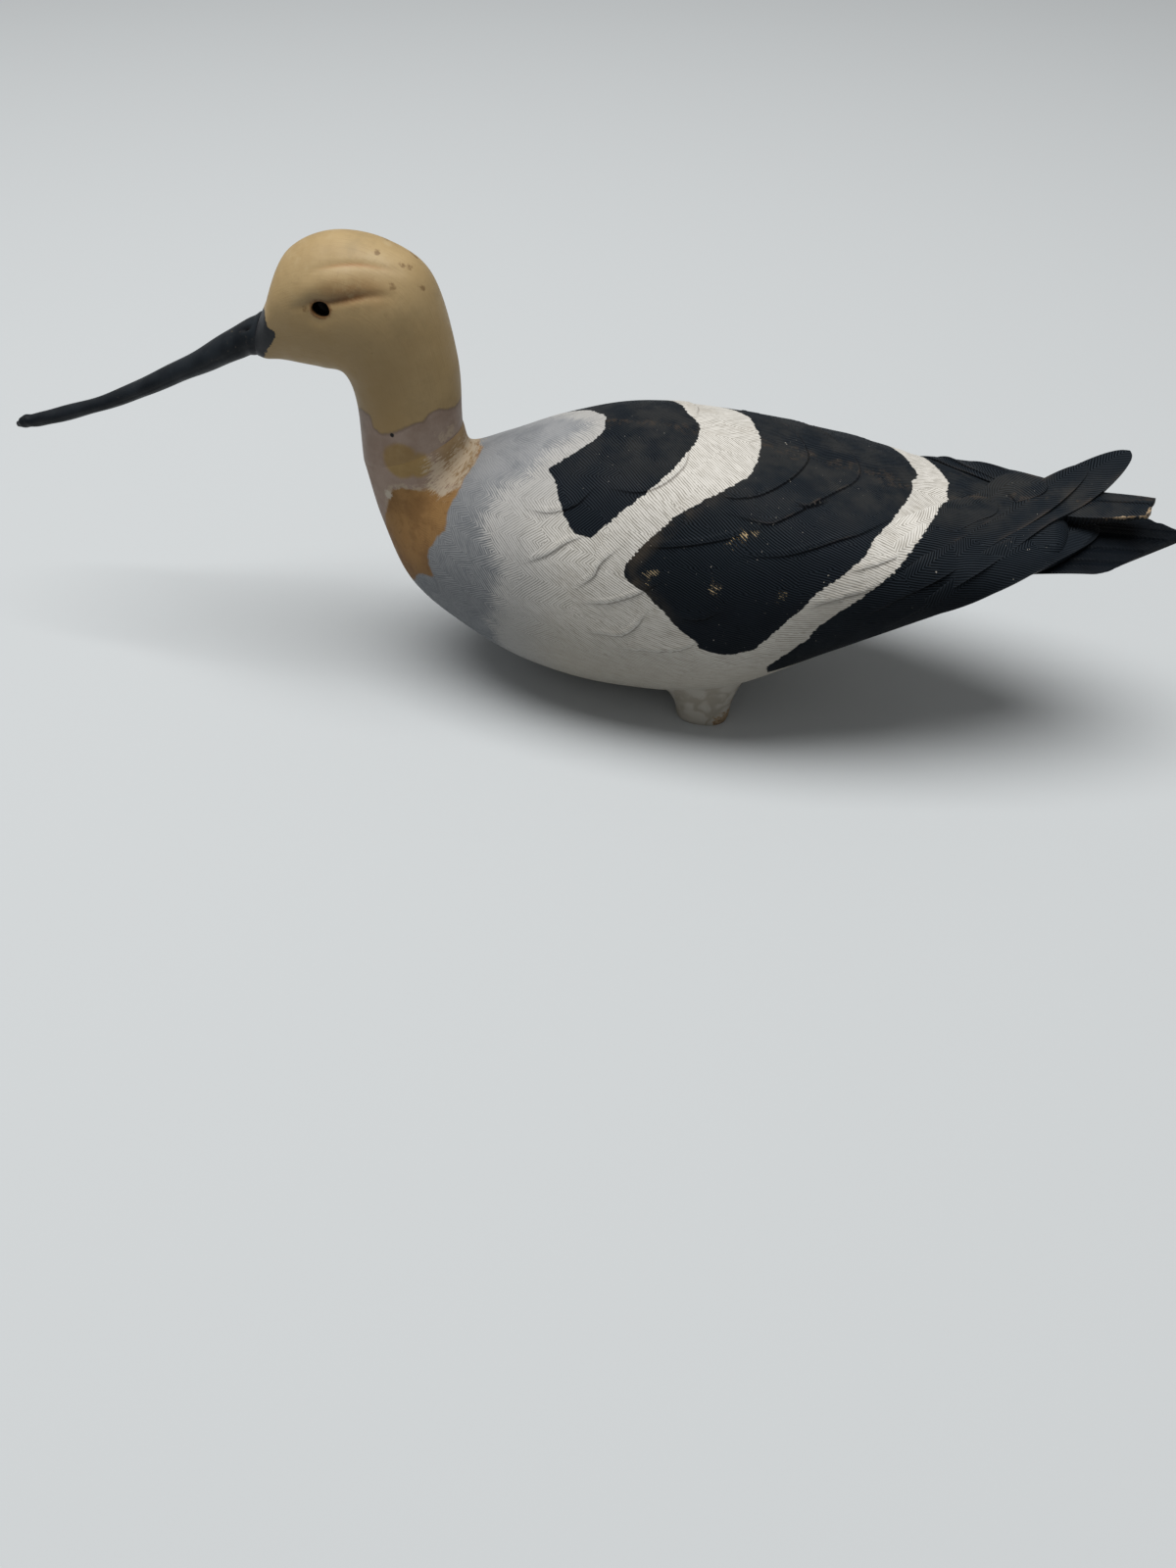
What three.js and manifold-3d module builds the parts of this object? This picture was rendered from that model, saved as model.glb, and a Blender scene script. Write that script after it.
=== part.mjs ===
// A carved and painted wading bird, life size: one wooden block for the breast, folded wings, tail and
// two short thighs, a second block for the head and upper neck, and a long upcurved bill let in at the face.
// Millimetres, +Z up, bill towards -X, tail towards +X, left side towards -Y.
// The bird rests on the flat ends of its thighs and on the low point of its breast.

import * as THREE from 'three';
import { mergeVertices } from 'three/addons/utils/BufferGeometryUtils.js';
import Module from 'manifold-3d';

const wasm = await Module();
wasm.setup();

// Driving dimensions: the body block
const bodyLength = 225.5;        // front of the neck joint to the root of the tail
const bodyWidth = 90;
const backHeight = 100;          // ground to the highest point of the back
const neckFoot = 79;             // ground to the front edge of the neck joint
const neckDepth = 36.6;          // front to back of the neck, along the joint
const neckWidth = 30.5;
const neckTilt = 20.5;           // degrees, the joint rises towards the back

// Driving dimensions: the head block and the bill
const headHeight = 73;           // front edge of the neck joint to the crown
const headWidth = 33;
const billLength = 98;           // face to tip, along X
const billWidth = 13.4;          // at the face
const seatGap = 0.3;             // glue line between two blocks
const eyeBore = 5.4;             // empty socket, left and right
const eyeDepth = 5;
const browDepth = 0.9;           // of the crease over and behind each eye
const crownDepth = 0.55;         // of the crease along each side of the crown
const creaseRadius = 3.4;
const nostrilLength = 5;
const nostrilWidth = 1.1;

// Driving dimensions: thighs, wing feathers and tail
const thighSpread = 47;          // between the middles of the two thighs
const thighLength = 19;          // of the flat foot, along X
const thighWidth = 14;
const thighFlare = 1.7;          // how much wider a thigh is at its root inside the belly
const quillThickness = 2.6;      // of a long wing feather
const tailSpread = 43;           // width of the tail at its corners
const tailThickness = 2.8;       // of its plate, at the root
const tailPoint = 26;            // from its corners to its tip, along X
const tailStep = 0.6;            // how far each pair of tail feathers lies above the next one
const scaleLift = 1.0;           // how far a body feather stands up at its tip
const scaleLength = 25;
const scaleWidth = 17;

// How finely the faces are divided
const bodyRings = 32;
const bodySides = 26;
const headRings = 18;
const headSides = 20;
const billRings = 13;
const billSides = 10;

const radians = Math.PI / 180;

// Curves through rows of numbers

// A smooth row between the rows of a table; t runs from 0, the first row, to 1, the last.
function between(rows, t) {
  const last = rows.length - 1;
  const x = Math.min(Math.max(t, 0), 1) * last;
  const i = Math.min(Math.floor(x), last - 1);
  const f = x - i;
  return rows[i].map((b, k) => {
    const c = rows[i + 1][k];
    const a = i > 0 ? rows[i - 1][k] : 2 * b - c;
    const d = i + 2 <= last ? rows[i + 2][k] : 2 * c - b;
    const bend = (2 * a - 5 * b + 4 * c - d) * f * f + (3 * b - a - 3 * c + d) * f * f * f;
    return b + 0.5 * ((c - a) * f + bend);
  });
}

const ease = (t) => {
  const x = Math.min(Math.max(t, 0), 1);
  return x * x * (3 - 2 * x);
};

const power = (value, exponent) => Math.sign(value) * Math.abs(value) ** exponent;

// A point on a carved form. A station is a rounded section between a low point and a high point:
// [low x, low z, high x, high z, half width, share of the height that is widest, roundness above, below].
// turn 0 is the high point, 90 the left side and 180 the low point, in degrees.
function onForm(stations, t, turn) {
  const [lowX, lowZ, highX, highZ, half, widest, above, below] = between(stations, t);
  const up = Math.cos(turn * radians);
  const out = Math.sin(turn * radians);
  const roundness = up > 0 ? above : below;
  const rise = widest + power(up, 2 / roundness) * (up > 0 ? 1 - widest : widest);
  return new THREE.Vector3(
    lowX + (highX - lowX) * rise,
    -half * power(out, 2 / roundness),
    lowZ + (highZ - lowZ) * rise,
  );
}

// The direction straight out of a carved form.
function outOf(stations, t, turn) {
  const step = 0.004;
  const along = onForm(stations, t + step, turn).sub(onForm(stations, t - step, turn));
  const round = onForm(stations, t, turn + 1).sub(onForm(stations, t, turn - 1));
  const out = round.cross(along).normalize();
  const core = onForm(stations, t, 90).setY(0);
  return out.dot(onForm(stations, t, turn).sub(core)) > 0 ? out : out.negate();
}

// Solids

function solidFrom(points, faces) {
  const build = (list) => new wasm.Manifold(new wasm.Mesh({
    numProp: 3,
    vertProperties: new Float32Array(points.flatMap((p) => [p.x, p.y, p.z])),
    triVerts: new Uint32Array(list.flat()),
  }));
  const solid = build(faces);
  return solid.volume() > 0 ? solid : build(faces.map(([a, b, c]) => [a, c, b]));
}

// A closed skin over a row of rings that all have as many points, with a flat cap at each end.
function skin(rings) {
  const sides = rings[0].length;
  const points = rings.flat();
  const faces = [];
  for (let i = 0; i < rings.length - 1; i += 1) {
    for (let j = 0; j < sides; j += 1) {
      const a = i * sides + j;
      const b = i * sides + (j + 1) % sides;
      faces.push([a, b, b + sides], [a, b + sides, a + sides]);
    }
  }
  for (const [first, turned] of [[0, true], [(rings.length - 1) * sides, false]]) {
    const middle = new THREE.Vector3();
    for (let j = 0; j < sides; j += 1) middle.add(points[first + j]);
    points.push(middle.divideScalar(sides));
    for (let j = 0; j < sides; j += 1) {
      const a = first + j;
      const b = first + (j + 1) % sides;
      faces.push(turned ? [b, a, points.length - 1] : [a, b, points.length - 1]);
    }
  }
  return solidFrom(points, faces);
}

function formSolid(stations, rings, sides) {
  const list = [];
  for (let i = 0; i <= rings; i += 1) {
    const ring = [];
    for (let j = 0; j < sides; j += 1) ring.push(onForm(stations, i / rings, 360 * j / sides));
    list.push(ring);
  }
  return skin(list);
}

function fromGeometry(geometry) {
  const bare = geometry.clone();
  bare.deleteAttribute('normal');
  bare.deleteAttribute('uv');
  const merged = mergeVertices(bare, 1e-4);
  return new wasm.Manifold(new wasm.Mesh({
    numProp: 3,
    vertProperties: merged.attributes.position.array,
    triVerts: new Uint32Array(merged.index.array),
  }));
}

function toGeometry(solid) {
  const mesh = solid.getMesh();
  const geometry = new THREE.BufferGeometry();
  geometry.setAttribute('position', new THREE.BufferAttribute(new Float32Array(mesh.vertProperties), 3));
  geometry.setIndex(new THREE.BufferAttribute(new Uint32Array(mesh.triVerts), 1));
  geometry.computeVertexNormals();
  return geometry;
}

// A smooth lump or hollow with three half axes, long axis along a direction.
function pebble(centre, along, up, half) {
  const geometry = new THREE.SphereGeometry(1, 8, 6);
  const side = up.clone().cross(along).normalize();
  const top = along.clone().cross(side).normalize();
  geometry.applyMatrix4(new THREE.Matrix4().makeScale(half.x, half.y, half.z));
  geometry.applyMatrix4(new THREE.Matrix4().makeBasis(along, side, top).setPosition(centre));
  return fromGeometry(geometry);
}

// A long feather: a thin blade. Each row of its course is a place on its middle line, the direction
// that its upper face looks in there, and how far it reaches down below that place.
// blunt 0 gives a round tip and 1 a broken, square one.
function quill({ course, halfWidth, thickness, blunt = 0, steps = 7, roundFrom = 0.75 }) {
  const upperFace = [[-1, 0.5], [-0.55, 0.95], [0.55, 0.95], [1, 0.5]];
  const lowerFace = [0.7, -0.7];
  const rootWidth = 0.55;
  const thinning = 0.35;
  const rings = [];
  for (let i = 0; i <= steps; i += 1) {
    const t = i / steps;
    const row = between(course, t);
    const middle = new THREE.Vector3(...row.slice(0, 3));
    const out = new THREE.Vector3(...row.slice(3, 6));
    const ahead = new THREE.Vector3(...between(course, t + 0.01).slice(0, 3));
    const behind = new THREE.Vector3(...between(course, t - 0.01).slice(0, 3));
    const along = ahead.sub(behind).normalize();
    const side = along.clone().cross(out).normalize();
    const up = side.clone().cross(along).normalize();
    const toTip = Math.max((t - roundFrom) / (1 - roundFrom), 0);
    const narrow = Math.sqrt(1 - toTip * toTip * (1 - blunt) * 0.98);
    const half = halfWidth * (rootWidth + (1 - rootWidth) * ease(t / 0.45)) * narrow;
    const thick = thickness * (1 - thinning * t) / 2;
    const place = (across, height) => middle.clone().addScaledVector(side, across).addScaledVector(up, height);
    rings.push([
      ...upperFace.map(([s, h]) => place(s * half, h * thick)),
      ...lowerFace.map((s) => place(s * half, -row[6])),
    ]);
  }
  return skin(rings);
}

// A body feather carved on a form: a tongue that rises out of the surface towards its round tip.
// The feather grows backwards from (t, turn) and leans by lean degrees of turn over its length.
function tongue(stations, { t, turn, length, width, lean, lift }) {
  const steps = 3;
  const across = 2;
  const sunk = 1.6;
  const here = onForm(stations, t, turn);
  const perShare = onForm(stations, t + 0.01, turn).distanceTo(here) / 0.01;
  const perDegree = onForm(stations, t, turn + 2).distanceTo(here) / 2;
  const shareLong = length / perShare;
  const degreesWide = width / perDegree;
  const rings = [];
  for (let i = 0; i <= steps; i += 1) {
    const s = i / steps;
    const halfWide = 0.5 * degreesWide * Math.sqrt(1 - ((s - 0.35) / 0.66) ** 2 * 0.97);
    const top = [];
    const bottom = [];
    for (let j = 0; j <= across; j += 1) {
      const side = j / across * 2 - 1;
      const place = [t + shareLong * s, turn + lean * s + halfWide * side];
      const out = outOf(stations, ...place);
      const raised = lift * (s - 0.12) * (1 - 0.25 * side * side);
      top.push(onForm(stations, ...place).addScaledVector(out, raised));
      bottom.unshift(onForm(stations, ...place).addScaledVector(out, -sunk));
    }
    rings.push([...top, ...bottom]);
  }
  return skin(rings);
}

// Body block

// The neck joint: one slanted section that the body and the head share.
const jointRun = neckDepth * Math.cos(neckTilt * radians);
const jointRise = neckDepth * Math.sin(neckTilt * radians);

// Stations in shares of body length, back height and body width, from below the joint to the tail.
const bodyShares = [
  [0.017, 0.560, 0.166, 0.845, 0.190, 0.51, 1.95, 2.00],
  [0.056, 0.350, 0.224, 0.885, 0.295, 0.48, 2.00, 2.00],
  [0.136, 0.200, 0.300, 0.950, 0.387, 0.47, 2.10, 1.95],
  [0.246, 0.062, 0.401, 0.995, 0.460, 0.48, 2.35, 1.86],
  [0.383, -0.004, 0.521, 0.972, 0.498, 0.50, 2.65, 1.78],
  [0.549, 0.065, 0.641, 0.926, 0.502, 0.50, 2.80, 1.90],
  [0.706, 0.282, 0.746, 0.882, 0.451, 0.50, 2.80, 1.82],
  [0.836, 0.468, 0.842, 0.827, 0.386, 0.55, 2.68, 1.85],
  [0.934, 0.613, 0.926, 0.826, 0.314, 0.56, 2.40, 2.00],
  [1.000, 0.711, 0.991, 0.838, 0.215, 0.55, 2.06, 2.05],
];

const bodyStations = [
  [0, neckFoot, jointRun, neckFoot + jointRise, neckWidth / 2, 0.5, 2, 2],
  ...bodyShares.map(([lowX, lowZ, highX, highZ, half, ...rest]) => [
    lowX * bodyLength, lowZ * backHeight, highX * bodyLength, highZ * backHeight, half * bodyWidth, ...rest,
  ]),
];

// A place on or near the body: shares of length from the neck joint, of half width, and of back height.
const at = (along, side, up) => [along * bodyLength, side * bodyWidth / 2, up * backHeight];

// The blunt rump behind the last station, under the wing tips.
function rump() {
  const rings = [];
  for (const [back, size] of [[-0.02, 0.96], [0, 0.92], [0.014, 0.78], [0.022, 0.45]]) {
    const ring = [];
    const middle = onForm(bodyStations, 1, 90).setY(0);
    for (let j = 0; j < bodySides; j += 1) {
      const p = onForm(bodyStations, 1, 360 * j / bodySides).sub(middle).multiplyScalar(size).add(middle);
      ring.push(p.setX(p.x + back * bodyLength));
    }
    rings.push(ring);
  }
  return skin(rings);
}

// A short thigh under the belly, flat below, flaring into the body: [height share, size, drift inwards].
const thighRings = [[0, 1, 0], [0.05, 1.04, 0], [0.13, 1.2, 0.06], [0.2, 1, 0.12], [0.3, thighFlare, 0.3]];
const thighPlaceShare = 0.542;   // share of body length

function thigh(side) {
  const sides = 14;
  const boxy = 0.85;
  const lean = 0.05;
  const rings = [];
  for (const [up, size, inwards] of thighRings) {
    const ring = [];
    for (let j = 0; j < sides; j += 1) {
      const a = 2 * Math.PI * j / sides;
      ring.push(new THREE.Vector3(
        thighPlaceShare * bodyLength + lean * up * bodyLength + size * thighLength / 2 * power(Math.cos(a), boxy),
        side * thighSpread / 2 * (1 - inwards) + size * thighWidth / 2 * power(Math.sin(a), boxy),
        up * backHeight,
      ));
    }
    rings.push(ring);
  }
  return skin(rings);
}

// Long wing feathers, from the top one down. A place of two numbers is on the body, as share of its
// stations and turn; one of three is in the air, in shares of length, half width and height. The left
// wing's tip crosses over the right wing's, which is broken off. The two upper feathers show on the left only.
const leftQuills = [
  [[0.710, 30], [0.775, 22], [0.838, 8], [0.885, 3]],
  [[0.697, 65], [0.763, 37], [0.827, 15], [0.885, 0], [0.935, 0.075, 0.862], [0.980, 0.065, 0.882]],
  [[0.704, 87], [0.780, 57], [0.850, 29], [0.915, 13], [0.975, 0.01, 0.862], [1.035, 0.32, 0.899]],
  [[0.740, 101], [0.813, 57], [0.874, 31.5], [0.950, 9.6], [1.012, 0.11, 0.864], [1.093, 0.455, 0.925]],
  [[0.740, 112], [0.813, 89], [0.874, 68], [0.940, 57], [1.000, -0.27, 0.790], [1.056, -0.05, 0.790]],
];
const rightQuills = [
  [[0.704, -96], [0.780, -70], [0.850, -46], [0.915, -30], [1.020, 0.06, 0.846]],
  [[0.740, -108], [0.813, -78], [0.874, -54], [0.950, -33], [1.012, 0.05, 0.838], [1.118, -0.08, 0.884]],
  [[0.740, -120], [0.813, -98], [0.874, -78], [0.940, -64], [1.000, 0.29, 0.785], [1.050, 0.10, 0.785]],
];
const quillHalfWidths = [5.9, 6.2, 5.7, 7.6, 6.5];
const quillRise = 0.45;          // each upper feather lies this much further out than the next
const brokenQuill = 3;           // the row of the one that forms the right wing's tip
const brokenBlunt = 0.4;
const bedded = 4;                // how far down a feather reaches behind its free tip, into what is under it

function wing(quills, side) {
  const inAir = new THREE.Vector3(-0.2, side > 0 ? 0 : -0.3, 1);
  const sunk = 0.35;
  const first = leftQuills.length - quills.length;
  return quills.map((places, order) => quill({
    course: places.map((place, row) => {
      const isTip = row === places.length - 1;
      if (place.length === 3) return [...at(...place), ...inAir, isTip ? 0.4 * quillThickness : bedded];
      const out = outOf(bodyStations, ...place);
      const lift = row === 0 ? -quillThickness : (quills.length - 1 - order) * quillRise - sunk;
      return [...onForm(bodyStations, ...place).addScaledVector(out, lift), ...out, bedded];
    }),
    halfWidth: quillHalfWidths[first + order],
    thickness: quillThickness,
    blunt: side > 0 && first + order === brokenQuill ? brokenBlunt : 0,
  }));
}

// The tail: a pointed plate under the wing tips, in layers. The lowest layer shows the outermost pair of
// tail feathers at its edges, and each layer above it leaves one more pair uncovered.
const tailRootShare = 0.90;      // share of body length
const tailTipShare = 1.174;
const tailHeights = [0.715, 0.763, 0.768]; // shares of back height, from root to tip
const tailLayers = [1, 0.76, 0.5, 0.22];   // share of the spread that each layer covers
const tailSections = [0, 0.5, 1];    // shares of the way from the root to a layer's corner
const tailEdge = [0.4, 0.8, 1];      // shares of the way from the corner to its tip

function tailLayer(cover, order) {
  const across = [-1, -0.5, 0, 0.5, 1];
  const crown = 1.2;
  const bluntTip = 0.07;
  const root = tailRootShare * bodyLength;
  const tip = tailTipShare * bodyLength;
  const corner = tip - tailPoint * cover;
  const widest = cover * tailSpread / 2;
  const places = [
    ...tailSections.map((share) => [root + (corner - root) * share, widest]),
    ...tailEdge.map((share) => [corner + (tip - corner) * share, widest * Math.max(1 - share, bluntTip)]),
  ];
  const rings = places.map(([x, half]) => {
    const [height] = between(tailHeights.map((z) => [z * backHeight]), (x - root) / (tip - root));
    const thick = tailThickness * (1 - 0.4 * (x - root) / (tip - root));
    const top = across.map((s) => {
      const side = s * half;
      const fall = crown * (2 * side / tailSpread) ** 2;
      return new THREE.Vector3(x, side, height + order * tailStep - fall);
    });
    const bottom = [0.96, -0.96].map((s) => new THREE.Vector3(x, s * half, height - thick));
    return [...top, ...bottom];
  });
  return skin(rings);
}

// The feathers that cover the root of the tail, and the end of the rump with it: places in shares of
// length, half width and back height.
const covertPlaces = [[0.88, 0, 0.80], [0.95, 0, 0.783], [1.022, 0, 0.766]];
const covertSpread = 0.72;       // share of the tail's spread
const covertDepth = 4;           // how far it reaches down into the plate

function tailCovert() {
  return quill({
    course: covertPlaces.map((place) => [...at(...place), -0.2, 0, 1, covertDepth]),
    halfWidth: covertSpread * tailSpread / 2,
    thickness: 2 * tailThickness,
    steps: 6,
    roundFrom: 0.35,
  });
}

// Rows of body feathers on both sides: [first share of length, last share, how many, turn, size].
const featherRows = [
  [0.37, 0.56, 2, 24, 1.15],
  [0.33, 0.60, 3, 46, 1.15],
  [0.36, 0.60, 3, 70, 1.15],
  [0.40, 0.64, 3, 94, 1.15],
  [0.25, 0.50, 2, 118, 1.2],
];

function bodyFeathers() {
  const list = [];
  for (const [first, last, count, turn, size] of featherRows) {
    for (let i = 0; i < count; i += 1) {
      const t = first + (last - first) * i / (count - 1);
      for (const side of [1, -1]) {
        list.push(tongue(bodyStations, {
          t,
          turn: side * turn,
          length: scaleLength * size,
          width: scaleWidth * size,
          lean: side * -22 * ease((t - 0.3) / 0.35) * Math.sin(turn * radians),
          lift: scaleLift,
        }));
      }
    }
  }
  return list;
}

function bodyBlock() {
  const pieces = [
    formSolid(bodyStations, bodyRings, bodySides),
    rump(),
    thigh(-1),
    thigh(1),
    ...wing(rightQuills, 1),
    ...wing(leftQuills, -1),
    ...tailLayers.map(tailLayer),
    tailCovert(),
    ...bodyFeathers(),
  ];
  const whole = pieces.reduce((sum, piece) => sum.add(piece));
  const deep = 40;
  const ground = new THREE.BoxGeometry(3 * bodyLength, 3 * bodyWidth, deep).translate(0, 0, -deep / 2);
  return whole.subtract(fromGeometry(ground));
}

// Head block

// Stations in shares of head height, from the front edge of the neck joint; half width in head widths.
const headShares = [
  [0.008, 0.275, 0.472, 0.485, 0.442, 0.50, 2.04, 1.98],
  [-0.020, 0.415, 0.393, 0.830, 0.490, 0.52, 1.98, 2.09],
  [-0.105, 0.435, 0.212, 0.962, 0.503, 0.55, 1.97, 2.19],
  [-0.200, 0.442, -0.012, 0.989, 0.467, 0.56, 1.96, 2.19],
  [-0.292, 0.446, -0.204, 0.906, 0.391, 0.55, 1.95, 2.15],
  [-0.360, 0.442, -0.308, 0.730, 0.309, 0.51, 1.95, 2.10],
  [-0.400, 0.447, -0.363, 0.640, 0.235, 0.50, 2.00, 2.00],
];

const seat = new THREE.Vector3(-Math.sin(neckTilt * radians), 0, Math.cos(neckTilt * radians))
  .multiplyScalar(seatGap);

const headStations = [
  [seat.x, neckFoot + seat.z, jointRun + seat.x, neckFoot + jointRise + seat.z, neckWidth / 2, 0.5, 2, 2],
  ...headShares.map(([lowX, lowZ, highX, highZ, half, ...rest]) => [
    lowX * headHeight, neckFoot + lowZ * headHeight,
    highX * headHeight, neckFoot + highZ * headHeight, half * headWidth, ...rest,
  ]),
];

// Places on the head: share from the neck joint to the face, and turn from the crown, in degrees.
const eyePlace = [0.515, 84];
const browPath = [[0.58, 82], [0.50, 74], [0.43, 66], [0.36, 54], [0.32, 46]];
const crownPath = [[0.59, 50], [0.52, 41], [0.45, 34], [0.37, 26]];
const nostrilPlace = [0.117, 44];

// A round tool drawn along a path on the head, deepest in the middle, cuts a shallow groove.
function groove(path, side, depth) {
  const steps = 6;
  const sides = 10;
  const rings = [];
  for (let i = 0; i <= steps; i += 1) {
    const [t, turn] = between(path, i / steps);
    const out = outOf(headStations, t, side * turn);
    const bite = depth * (1.6 * Math.sin(Math.PI * i / steps) - 0.6);
    const centre = onForm(headStations, t, side * turn).addScaledVector(out, creaseRadius - bite);
    const [nextT, nextTurn] = between(path, (i + 0.5) / steps);
    const [lastT, lastTurn] = between(path, (i - 0.5) / steps);
    const along = onForm(headStations, nextT, side * nextTurn).sub(onForm(headStations, lastT, side * lastTurn));
    const across = along.cross(out).normalize();
    const ring = [];
    for (let j = 0; j < sides; j += 1) {
      const a = 2 * Math.PI * j / sides;
      ring.push(centre.clone()
        .addScaledVector(across, creaseRadius * Math.cos(a))
        .addScaledVector(out, creaseRadius * Math.sin(a)));
    }
    rings.push(ring);
  }
  return skin(rings);
}

// A blind hole for an eye, drilled almost straight in from the side.
function eyeHole(side) {
  const [t, turn] = eyePlace;
  const out = outOf(headStations, t, side * turn);
  const hole = new THREE.CylinderGeometry(eyeBore / 2, eyeBore / 2, 2 * eyeDepth, 16);
  const drift = 0.4;
  const level = new THREE.Vector3(out.x * drift, out.y, out.z * drift).normalize();
  hole.applyQuaternion(new THREE.Quaternion().setFromUnitVectors(new THREE.Vector3(0, 1, 0), level));
  hole.translate(...onForm(headStations, t, side * turn));
  return fromGeometry(hole);
}

function headBlock() {
  let block = formSolid(headStations, headRings, headSides);
  for (const side of [1, -1]) {
    const cuts = [
      groove(browPath, side, browDepth),
      groove(crownPath, side, crownDepth),
      eyeHole(side),
    ];
    for (const cut of cuts) block = block.subtract(cut);
  }
  return block;
}

// Bill

// The bill sits on the flat front of the face, a little inside its edge.
const face = headStations[headStations.length - 1];
const faceSlope = new THREE.Vector3(face[2] - face[0], 0, face[3] - face[1]).normalize();
const offFace = new THREE.Vector3(-faceSlope.z, 0, faceSlope.x).multiplyScalar(seatGap);
const inset = 0.5;
const billRoot = [
  face[0] + offFace.x + inset * faceSlope.x, face[1] + offFace.z + inset * faceSlope.z,
  face[2] + offFace.x - inset * faceSlope.x, face[3] + offFace.z - inset * faceSlope.z,
];

// Stations in shares of bill length, from the low point of the bill's root; half width in bill widths.
const billShares = [
  [-0.077, -0.027, -0.051, 0.094, 0.445],
  [-0.314, -0.134, -0.294, -0.049, 0.335],
  [-0.609, -0.260, -0.602, -0.204, 0.255],
  [-0.880, -0.350, -0.880, -0.302, 0.205],
  [-0.970, -0.369, -0.970, -0.328, 0.155],
  [-1.000, -0.371, -1.000, -0.352, 0.070],
];

const billStations = [
  [...billRoot, billWidth / 2, 0.5, 2, 2],
  ...billShares.map(([lowX, lowZ, highX, highZ, half]) => [
    billRoot[0] + lowX * billLength, billRoot[1] + lowZ * billLength,
    billRoot[0] + highX * billLength, billRoot[1] + highZ * billLength, half * billWidth, 0.5, 2, 2,
  ]),
];

function bill() {
  let piece = formSolid(billStations, billRings, billSides);
  for (const side of [1, -1]) {
    const [t, turn] = nostrilPlace;
    const out = outOf(billStations, t, side * turn);
    const ahead = onForm(billStations, t + 0.03, side * turn);
    const along = ahead.sub(onForm(billStations, t - 0.03, side * turn)).normalize();
    const half = new THREE.Vector3(nostrilLength / 2, nostrilWidth / 2, nostrilWidth);
    piece = piece.subtract(pebble(onForm(billStations, t, side * turn), along, out, half));
  }
  return piece;
}

// The finished bird

function named(name, solid, colour, roughness) {
  const material = new THREE.MeshStandardMaterial({ color: colour, roughness, metalness: 0 });
  const mesh = new THREE.Mesh(toGeometry(solid), material);
  mesh.name = name;
  return mesh;
}

const bird = new THREE.Group();
bird.add(named('body', bodyBlock(), 0x8f8e8a, 0.75));
bird.add(named('head', headBlock(), 0xb39a74, 0.6));
bird.add(named('bill', bill(), 0x1b1b1d, 0.5));

// The origin is on the ground, under the middle of the bird.
const box = new THREE.Box3().setFromObject(bird);
const centre = box.getCenter(new THREE.Vector3());
bird.position.set(-centre.x, -centre.y, -box.min.z);

export default bird;
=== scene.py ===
# A carved and painted wading bird with an empty eye, crossed wing tips and a long upcurved bill.
# Lengths are in millimetres until a mesh is made. +Z is up, the bill points to -X, the left side to -Y.

import bpy
import numpy as np
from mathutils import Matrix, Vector
from mathutils.bvhtree import BVHTree
from mathutils.kdtree import KDTree


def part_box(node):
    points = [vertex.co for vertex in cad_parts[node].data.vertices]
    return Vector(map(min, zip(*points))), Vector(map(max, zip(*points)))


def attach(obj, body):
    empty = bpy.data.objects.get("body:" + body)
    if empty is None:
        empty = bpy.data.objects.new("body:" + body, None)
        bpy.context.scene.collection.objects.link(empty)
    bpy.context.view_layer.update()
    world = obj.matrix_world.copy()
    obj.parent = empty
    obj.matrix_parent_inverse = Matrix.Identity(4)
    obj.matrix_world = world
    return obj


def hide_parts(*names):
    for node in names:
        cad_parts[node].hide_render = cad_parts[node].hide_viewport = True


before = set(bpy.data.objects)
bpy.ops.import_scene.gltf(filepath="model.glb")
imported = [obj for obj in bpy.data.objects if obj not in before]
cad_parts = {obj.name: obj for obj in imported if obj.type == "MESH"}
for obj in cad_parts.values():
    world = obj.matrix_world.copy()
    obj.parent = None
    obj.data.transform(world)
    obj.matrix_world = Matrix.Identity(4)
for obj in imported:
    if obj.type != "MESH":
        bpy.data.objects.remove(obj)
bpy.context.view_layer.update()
MM = 0.001
ORIGIN = np.array([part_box("body")[0].x / MM, 0.0, 0.0])   # the front of the neck joint, on the ground
draw = np.random.default_rng(7)

# The photograph's camera

YAW, PITCH = np.radians(10.0), np.radians(47.0)
CAMERA_PLACE = np.array([66.5, -334.5, 293.0])
LENS, SENSOR = 27.0, 36.0
PHOTO_WIDTH, PHOTO_HEIGHT = 1200, 1600
LOOK = np.array([-np.sin(YAW) * np.cos(PITCH), np.cos(YAW) * np.cos(PITCH), -np.sin(PITCH)])
LOOK_RIGHT = np.array([np.cos(YAW), np.sin(YAW), 0.0])
LOOK_UP = np.cross(LOOK_RIGHT, LOOK)

camera = bpy.data.objects.new("camera", bpy.data.cameras.new("camera"))
camera.data.lens, camera.data.sensor_width = LENS, SENSOR
camera.location = CAMERA_PLACE * MM
camera.rotation_mode = "QUATERNION"
camera.rotation_quaternion = Vector(LOOK).to_track_quat("-Z", "Y")
camera.data.clip_start, camera.data.clip_end = 0.01, 50
bpy.context.collection.objects.link(camera)
bpy.context.scene.camera = camera


# Forms through stations, as in the part's source

def between(rows, t):
    """A smooth row between the rows of a table, for an array of shares t from 0 to 1."""
    rows = np.asarray(rows, float)
    last = len(rows) - 1
    x = np.clip(np.asarray(t, float), 0, 1) * last
    i = np.minimum(x.astype(int), last - 1)
    f = (x - i)[..., None]
    b, c = rows[i], rows[i + 1]
    a = np.where((i > 0)[..., None], rows[np.maximum(i - 1, 0)], 2 * b - c)
    d = np.where((i + 2 <= last)[..., None], rows[np.minimum(i + 2, last)], 2 * c - b)
    bend = (2 * a - 5 * b + 4 * c - d) * f ** 2 + (3 * b - a - 3 * c + d) * f ** 3
    return b + 0.5 * ((c - a) * f + bend)


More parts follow.
